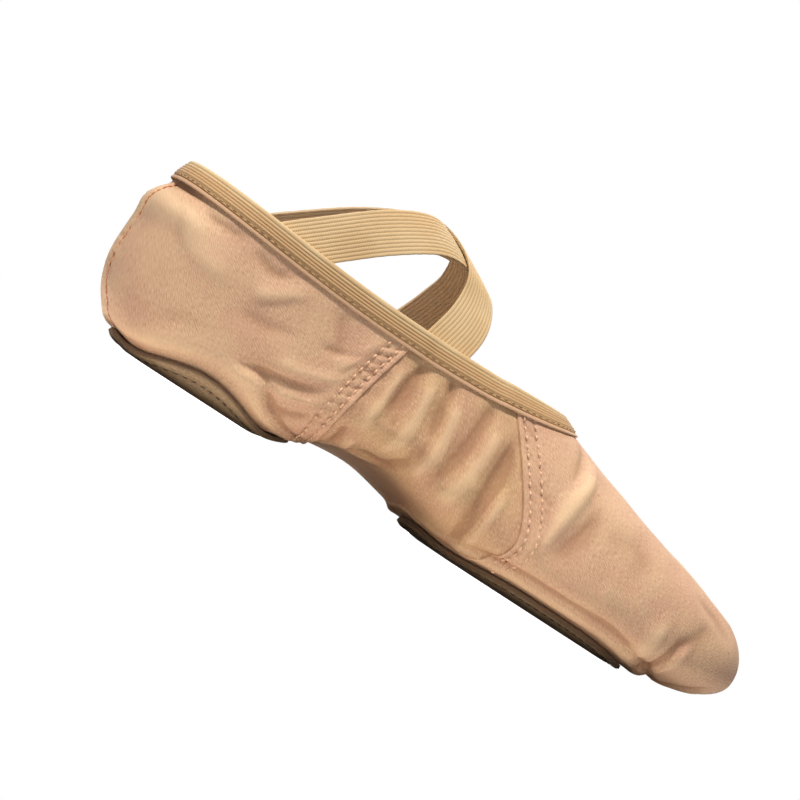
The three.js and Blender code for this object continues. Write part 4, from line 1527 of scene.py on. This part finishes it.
def make_strap(name, node, start_side, lift):
    place, points, across = strap_line(start_side)
    crest = points[np.argmax(place[1] != start_side)]
    near_crest = STRAP_HUMP - np.linalg.norm(points - crest, axis=1)
    face = STRAP_FACE + lift * smooth(near_crest, 0, STRAP_HUMP / 2)
    shares = np.linspace(-1, 1, STRAP_ACROSS + 1)
    rib = np.abs(np.sin(np.pi * (shares + 1) / 2 * STRAP_RIBS))
    relief = STRAP_RIB_DEPTH * (rib**STRAP_RIB_ROUNDNESS - 1)
    steps = shares * STRAP_WIDTH / 2
    rows = [off_last(*aside(place, across, step), face + height) for step, height in zip(steps, relief)]
    stack, run = np.array(rows), path_lengths(points)
    kept = {}

    def lay(column, row):
        # Painted shade in the grooves between the strap's ribs.
        kept["groove"] = STRAP_GROOVE_SHADE * smooth(rib[row], STRAP_GROOVE_TO, 0)
        return stack[row, column], np.stack([run[column], steps[row]], axis=1)

    piece = grid_piece(name, STRAP_STEPS, STRAP_ACROSS, lay)
    keep_values(piece, kept)
    solidify(piece, STRAP_THICKNESS)
    count = len(piece.data.vertices)
    keep_values(piece, {"plush": np.arange(count) >= count // 2})
    dress(piece, elastic, "ribbed_elastic", node)


make_strap("elastic_strap_under", "instep_strap_under", INNER, 0)
make_strap("elastic_strap_over", "instep_strap_over", OUTER, ELASTIC_THICKNESS + GAP)

# %% [markdown]
# ## Stitches
# Thread is what makes the seams read as sewn. Bump would stay flat at the outline, so one stitch is
# modelled, a short thread that dips into the cloth at both ends. It is copied along each seam by arrays of
# places and directions, joined in one mesh for each seam.

# %% Thread
# The plies of such a thread are about 0.2 mm, so their twist is drawn coarser.
PLY_SIZE = 0.667
Thread = namedtuple("Thread", "material length thickness slot")


def thread_material(name, light, dark):
    """Spun polyester: a twist of lighter and darker ply, smoother than the cloth round it."""
    material, tree, shader = new_material(name)
    place = add_node(tree, "TexCoord", "Object")
    noise = add_node(tree, "TexNoise", "Fac", Vector=place, Scale=per_metre(PLY_SIZE), Detail=2.0)
    twist = paint(tree, linear(dark), Layer(noise, 0.4, 0.65, 1, light))
    set_surface(shader, {"Base Color": twist}, Roughness=0.6, Sheen_Weight=0.1)
    return material


pale = thread_material("Pale polyester thread", "#f0d0b5", "#e3b998")
orange = thread_material("Orange polyester thread", "#dd9467", "#c98158")
brown = thread_material("Brown polyester thread", "#5a4535", "#3c2c20")
beige = thread_material("Beige polyester thread", "#b9966f", "#8f6f50")
panel_thread = Thread(pale, 1.7, 0.75, "stretch_canvas")
back_thread = Thread(orange, 1.75, 0.45, "stretch_canvas")
patch_thread = Thread(brown, 2.1, 0.45, "suede")
collar_thread = Thread(beige, 1.9, 0.45, "ribbed_elastic")
strap_thread = collar_thread._replace(length=1.7)
print("threads:", ", ".join(thread.name for thread in (pale, orange, brown, beige)))

# %% One stitch
STITCH_DIP = 1.8


def one_stitch():
    """A thread of unit length along X and unit thickness, dipping at both ends."""
    bpy.ops.object.select_all(action="DESELECT")
    upright = (0, math.pi / 2, 0)
    bpy.ops.mesh.primitive_uv_sphere_add(segments=8, ring_count=6, radius=0.5, rotation=upright)
    ball = bpy.context.object
    bpy.ops.object.transform_apply(rotation=True)
    points = read_vectors(ball.data.vertices, "co")
    faces = [tuple(face.vertices) for face in ball.data.polygons]
    bpy.data.objects.remove(ball)
    points[:, 2] -= STITCH_DIP * points[:, 0] ** 2
    return points, faces


STITCH_POINTS, STITCH_FACES = one_stitch()
print("a stitch has", len(STITCH_FACES), "faces")

# %% Rows of stitches


def stitch_row(name, points, normals, thread):
    """Stitches laid end to end with gaps along a line of points, one for each pair of points."""
    middle = (points[1:] + points[:-1]) / 2
    along = unit(points[1:] - points[:-1])
    across = unit(np.cross(unit((normals[1:] + normals[:-1]) / 2), along))
    axes = np.stack([along, across, np.cross(along, across)], axis=1)
    base = STITCH_POINTS * (thread.length, thread.thickness, thread.thickness)
    copies = middle[:, None] + base @ axes
    count = len(STITCH_POINTS)
    faces = [tuple(i * count + v for v in face) for i in range(len(middle)) for face in STITCH_FACES]
    mesh = bpy.data.meshes.new(name)
    mesh.from_pydata(((copies.reshape(-1, 3) + SHIFT) * MM).tolist(), [], faces)
    piece = bpy.data.objects.new(name, mesh)
    bpy.context.scene.collection.objects.link(piece)
    dress(piece, thread.material, thread.slot)


def evenly(points, normals, pitch):
    """A line of points, and the normals beside it, at about an even pitch."""
    lengths = path_lengths(points)
    at = np.linspace(0, lengths[-1], max(2, round(lengths[-1] / pitch) + 1))

    def resampled(values):
        return np.stack([np.interp(at, lengths, column) for column in values.T], axis=1)

    return resampled(points), resampled(normals)


print("stitches are laid about", STITCH_PITCH, "mm apart on the panels")

# %% Stitches on the panel seams
SEAM_RAISED = 0.34
REAR_STITCHED, FRONT_STITCHED = (0.16, 0.91), (0.36, 0.91)


def seam_line(seam, sign, side, inset, stitched):
    """A row of stitches, found by walking from the seam's edge onto the lapped cloth."""
    share = np.linspace(*stitched, 160)
    edge, sides = seam(share), np.full_like(share, side)
    girth = share * topline_girth(edge, sides)
    ahead = np.gradient(last_point(edge, sides, girth), axis=0)
    onto = unit(np.cross(last_normal(edge, sides, girth), ahead)) * -sign * side
    x, sides, girth = walk_on_last(edge, sides, girth, onto, inset)
    return evenly(*cloth_point(x, sides, girth / topline_girth(x, sides), SEAM_RAISED), STITCH_PITCH)


for side, side_name in ((INNER, "inner"), (OUTER, "outer")):
    for k, inset in enumerate(STITCH_ROWS):
        rear = seam_line(rear_seam_x, 1, side, inset, REAR_STITCHED)
        stitch_row(f"rear_seam_{side_name}_{k}", *rear, panel_thread)
        front = seam_line(front_seam_x, -1, side, inset, FRONT_STITCHED)
        stitch_row(f"front_seam_{side_name}_{k}", *front, panel_thread)

# %% Stitches on the back seam
BACK_PITCH, BACK_RAISED, BACK_STITCHED_TO = 1.8, 0.32, HEEL_HEIGHT - 5
BACK_SEARCH = np.linspace(13, 0.2, 90)


def back_seam_line():
    """The seam's line: for each x, the two heights at which the heel is as wide as the seam lies aside."""
    girth = np.linspace(0, 1, 400)
    rising, falling = [], []
    for x in BACK_SEARCH:
        y = last_point(x, INNER, girth)[:, 1] - section("centre", x)
        past = np.flatnonzero(y <= BACK_SEAM_SIDE)
        if len(past):
            rising.append((x, girth[past[0]]))
            falling.append((x, girth[past[-1]]))
    x, girth = np.array(rising + falling[::-1]).T
    share = girth / topline_girth(x, INNER)
    below = share < 1
    points, normals = cloth_point(x[below], INNER, share[below], BACK_RAISED)
    stitched = points[:, 2] < BACK_STITCHED_TO
    return evenly(points[stitched], normals[stitched], BACK_PITCH)


stitch_row("back_seam", *back_seam_line(), back_thread)

# %% Stitches on the patches
PATCH_STITCH_SINK = 0.25

for oval, name in ((HEEL_PATCH, "heel"), (FOREFOOT_PATCH, "forefoot")):
    share = stitch_share(oval)
    count = round(oval_edge(oval, share)[1][-1] / STITCH_PITCH)
    x, y = oval_point(oval, even_turns(oval, count, share), share)
    points = off_underside(x, y, LIFT - PATCH_STITCH_SINK)
    stitch_row(f"{name}_patch_stitches", points, under_normal(x, y), patch_thread)

# %% Stitches on the binding
BINDING_PITCH, BINDING_STITCH_SINK = 2.6, 0.3


def binding_stitch_line():
    place = walk_on_last(*collar.place, collar.down, STITCH_DROP)
    line = off_last(*place, collar_face + ELASTIC_THICKNESS - BINDING_STITCH_SINK)
    line, normals = (np.vstack([values, values[:1]]) for values in (line, last_normal(*place)))
    return evenly(line, normals, BINDING_PITCH)


stitch_row("binding_stitches", *binding_stitch_line(), collar_thread)

# %% Stitches on the ends of the straps
STRAP_END_ROWS = np.array([1.5, 4.5])
STRAP_END_STITCHES, STRAP_END_MARGIN = 6, 1
STRAP_STITCH_RAISED = 0.05


def strap_end_rows(start_side):
    """Two rows of stitches across each end of a strap, on its inner face."""
    place, points, across = strap_line(start_side)
    run = path_lengths(points)
    offset = STRAP_FACE - ELASTIC_THICKNESS - STRAP_STITCH_RAISED
    for at in (*STRAP_END_ROWS, *(run[-1] - STRAP_END_ROWS)):
        i = int(np.argmin(np.abs(run - at)))
        here = tuple(values[i : i + 1] for values in place)
        steps = np.linspace(-1, 1, STRAP_END_STITCHES + 1) * (STRAP_WIDTH / 2 - STRAP_END_MARGIN)
        spots = [aside(here, across[i : i + 1], step) for step in steps]
        line = np.vstack([off_last(*spot, offset) for spot in spots])
        yield line, np.vstack([-last_normal(*spot) for spot in spots])


for start_side, name in ((INNER, "under"), (OUTER, "over")):
    for k, row in enumerate(strap_end_rows(start_side)):
        stitch_row(f"strap_{name}_end_{k}", *row, strap_thread)

# %% [markdown]
# ## Floor and light
# The slipper stands on a plain white floor under soft studio light. A small key light from above and behind
# the heel draws the folds, a low fill keeps the arch open, and a broad one behind lights the straps. A
# floor that only catches light turns grey far away, so this one glows a little and fades out at a distance.

# %% Floor
FLOOR_GLOW = 0.86
FLOOR_FADE = {"From_Min": 0.11, "From_Max": 0.2}
FLOOR_CLOUD, FLOOR_SQUEEZE = 333, 1.7


def studio_floor():
    """Painted board: matt white, with clouds of a hardly different white."""
    bpy.ops.object.select_all(action="DESELECT")
    bpy.ops.mesh.primitive_plane_add(size=1)
    floor = bpy.context.object
    floor.name = "studio_floor"
    material, tree, shader = new_material("White studio floor")
    place = add_node(tree, "TexCoord", "Object")
    tone = add_node(tree, "TexNoise", "Fac", Vector=place, Scale=per_metre(FLOOR_CLOUD))
    white = add_node(tree, "Mix", 2, COLOURS, _0=tone, _6=linear("#f4f3f1"), _7=linear("#f8f7f6"))
    seen = add_node(tree, "LightPath", "Is Camera Ray")
    glow = add_node(tree, "MapRange", 0, None, Value=seen, To_Max=FLOOR_GLOW)
    links = {"Base Color": white, "Emission Strength": glow}
    set_surface(shader, links, Roughness=0.9, Specular_IOR_Level=0.0, Emission_Color=(1, 1, 1, 1))
    stretched = add_node(tree, "Mapping", Vector=place, Scale=(1, FLOOR_SQUEEZE, 1))
    far = add_node(tree, "VectorMath", "Value", {"operation": "LENGTH"}, _0=stretched)
    fade = add_node(tree, "MapRange", 0, SMOOTH_STEP, Value=far, **FLOOR_FADE)
    clear = add_node(tree, "BsdfTransparent")
    edge = add_node(tree, "MixShader", _0=fade, _1=shader.outputs[0], _2=clear)
    tree.links.new(edge, tree.nodes["Material Output"].inputs["Surface"])
    floor.data.materials.append(material)
    floor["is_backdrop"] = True
    print("made", floor.name)


studio_floor()

# %% Lights
bpy.context.scene.view_settings.view_transform = "Standard"
Light = namedtuple("Light", "name place target size power colour")
LIGHTS = (
    Light("key_light", (-0.42, -0.36, 1.04), (0, 0, 0.03), 0.16, 14.5, "#fff5e8"),
    Light("low_fill", (-0.2, -0.85, 0.14), (0, 0, 0.05), 0.4, 0.55, "#fff4ea"),
    Light("rim_light", (0.05, 0.75, 0.9), (0, 0, 0.03), 0.7, 8, "#ffffff"),
)
for light in LIGHTS:
    data = bpy.data.lights.new(light.name, "AREA")
    data.shape = "DISK"
    data.size = light.size
    data.energy = light.power
    data.color = linear(light.colour)[:3]
    lamp = bpy.data.objects.new(light.name, data)
    bpy.context.scene.collection.objects.link(lamp)
    lamp.location = light.place
    back = lamp.location - Vector(light.target)
    lamp.rotation_euler = back.to_track_quat("Z", "Y").to_euler()
    print(light.name, light.power, "W")

# %% Sky
SKY_LIGHT, SKY_SEEN = 0.25, 1.0

world = bpy.data.worlds.new("Studio")
bpy.context.scene.world = world
world.use_nodes = True
sky = world.node_tree
seen = add_node(sky, "LightPath", "Is Camera Ray")
glow = add_node(sky, "MapRange", 0, None, Value=seen, To_Min=SKY_LIGHT, To_Max=SKY_SEEN)
sky.links.new(glow, sky.nodes["Background"].inputs["Strength"])
sky.nodes["Background"].inputs["Color"].default_value = (1, 1, 1, 1)
print("made", world.name)

# %% [markdown]
# ## Camera
# The camera looks at the inner side, slightly from behind, from as low as the floor allows, and is rolled
# so that the heel is high on the left and the toe low on the right. Tilting the shoe would give the same
# picture, but it has to stand on its sole, so the camera is turned.

# %% Camera
AZIMUTH, ROLL = math.radians(-18), math.radians(33)
HEIGHT, DISTANCE = 0.006, 0.75
TARGET = (-0.0184, 0.0049, 0.0342)
LENS = 107


def photo_camera():
    data = bpy.data.cameras.new("photo_camera")
    data.lens = LENS
    data.clip_start = 0.01
    camera = bpy.data.objects.new("photo_camera", data)
    bpy.context.scene.collection.objects.link(camera)
    bpy.context.scene.camera = camera
    camera.location = (DISTANCE * math.sin(AZIMUTH), -DISTANCE * math.cos(AZIMUTH), HEIGHT)
    ahead = Vector(TARGET) - camera.location
    aim = ahead.to_track_quat("-Z", "Y").to_matrix().to_4x4()
    camera.rotation_euler = (aim @ Matrix.Rotation(ROLL, 4, "Z")).to_euler()
    print(f"camera {DISTANCE} m away, {LENS} mm lens")


photo_camera()

# %% Finish
boxes = {"cad": cad_box, "visual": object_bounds()}
{name: [[float(v) for v in corner] for corner in box] for name, box in boxes.items()}
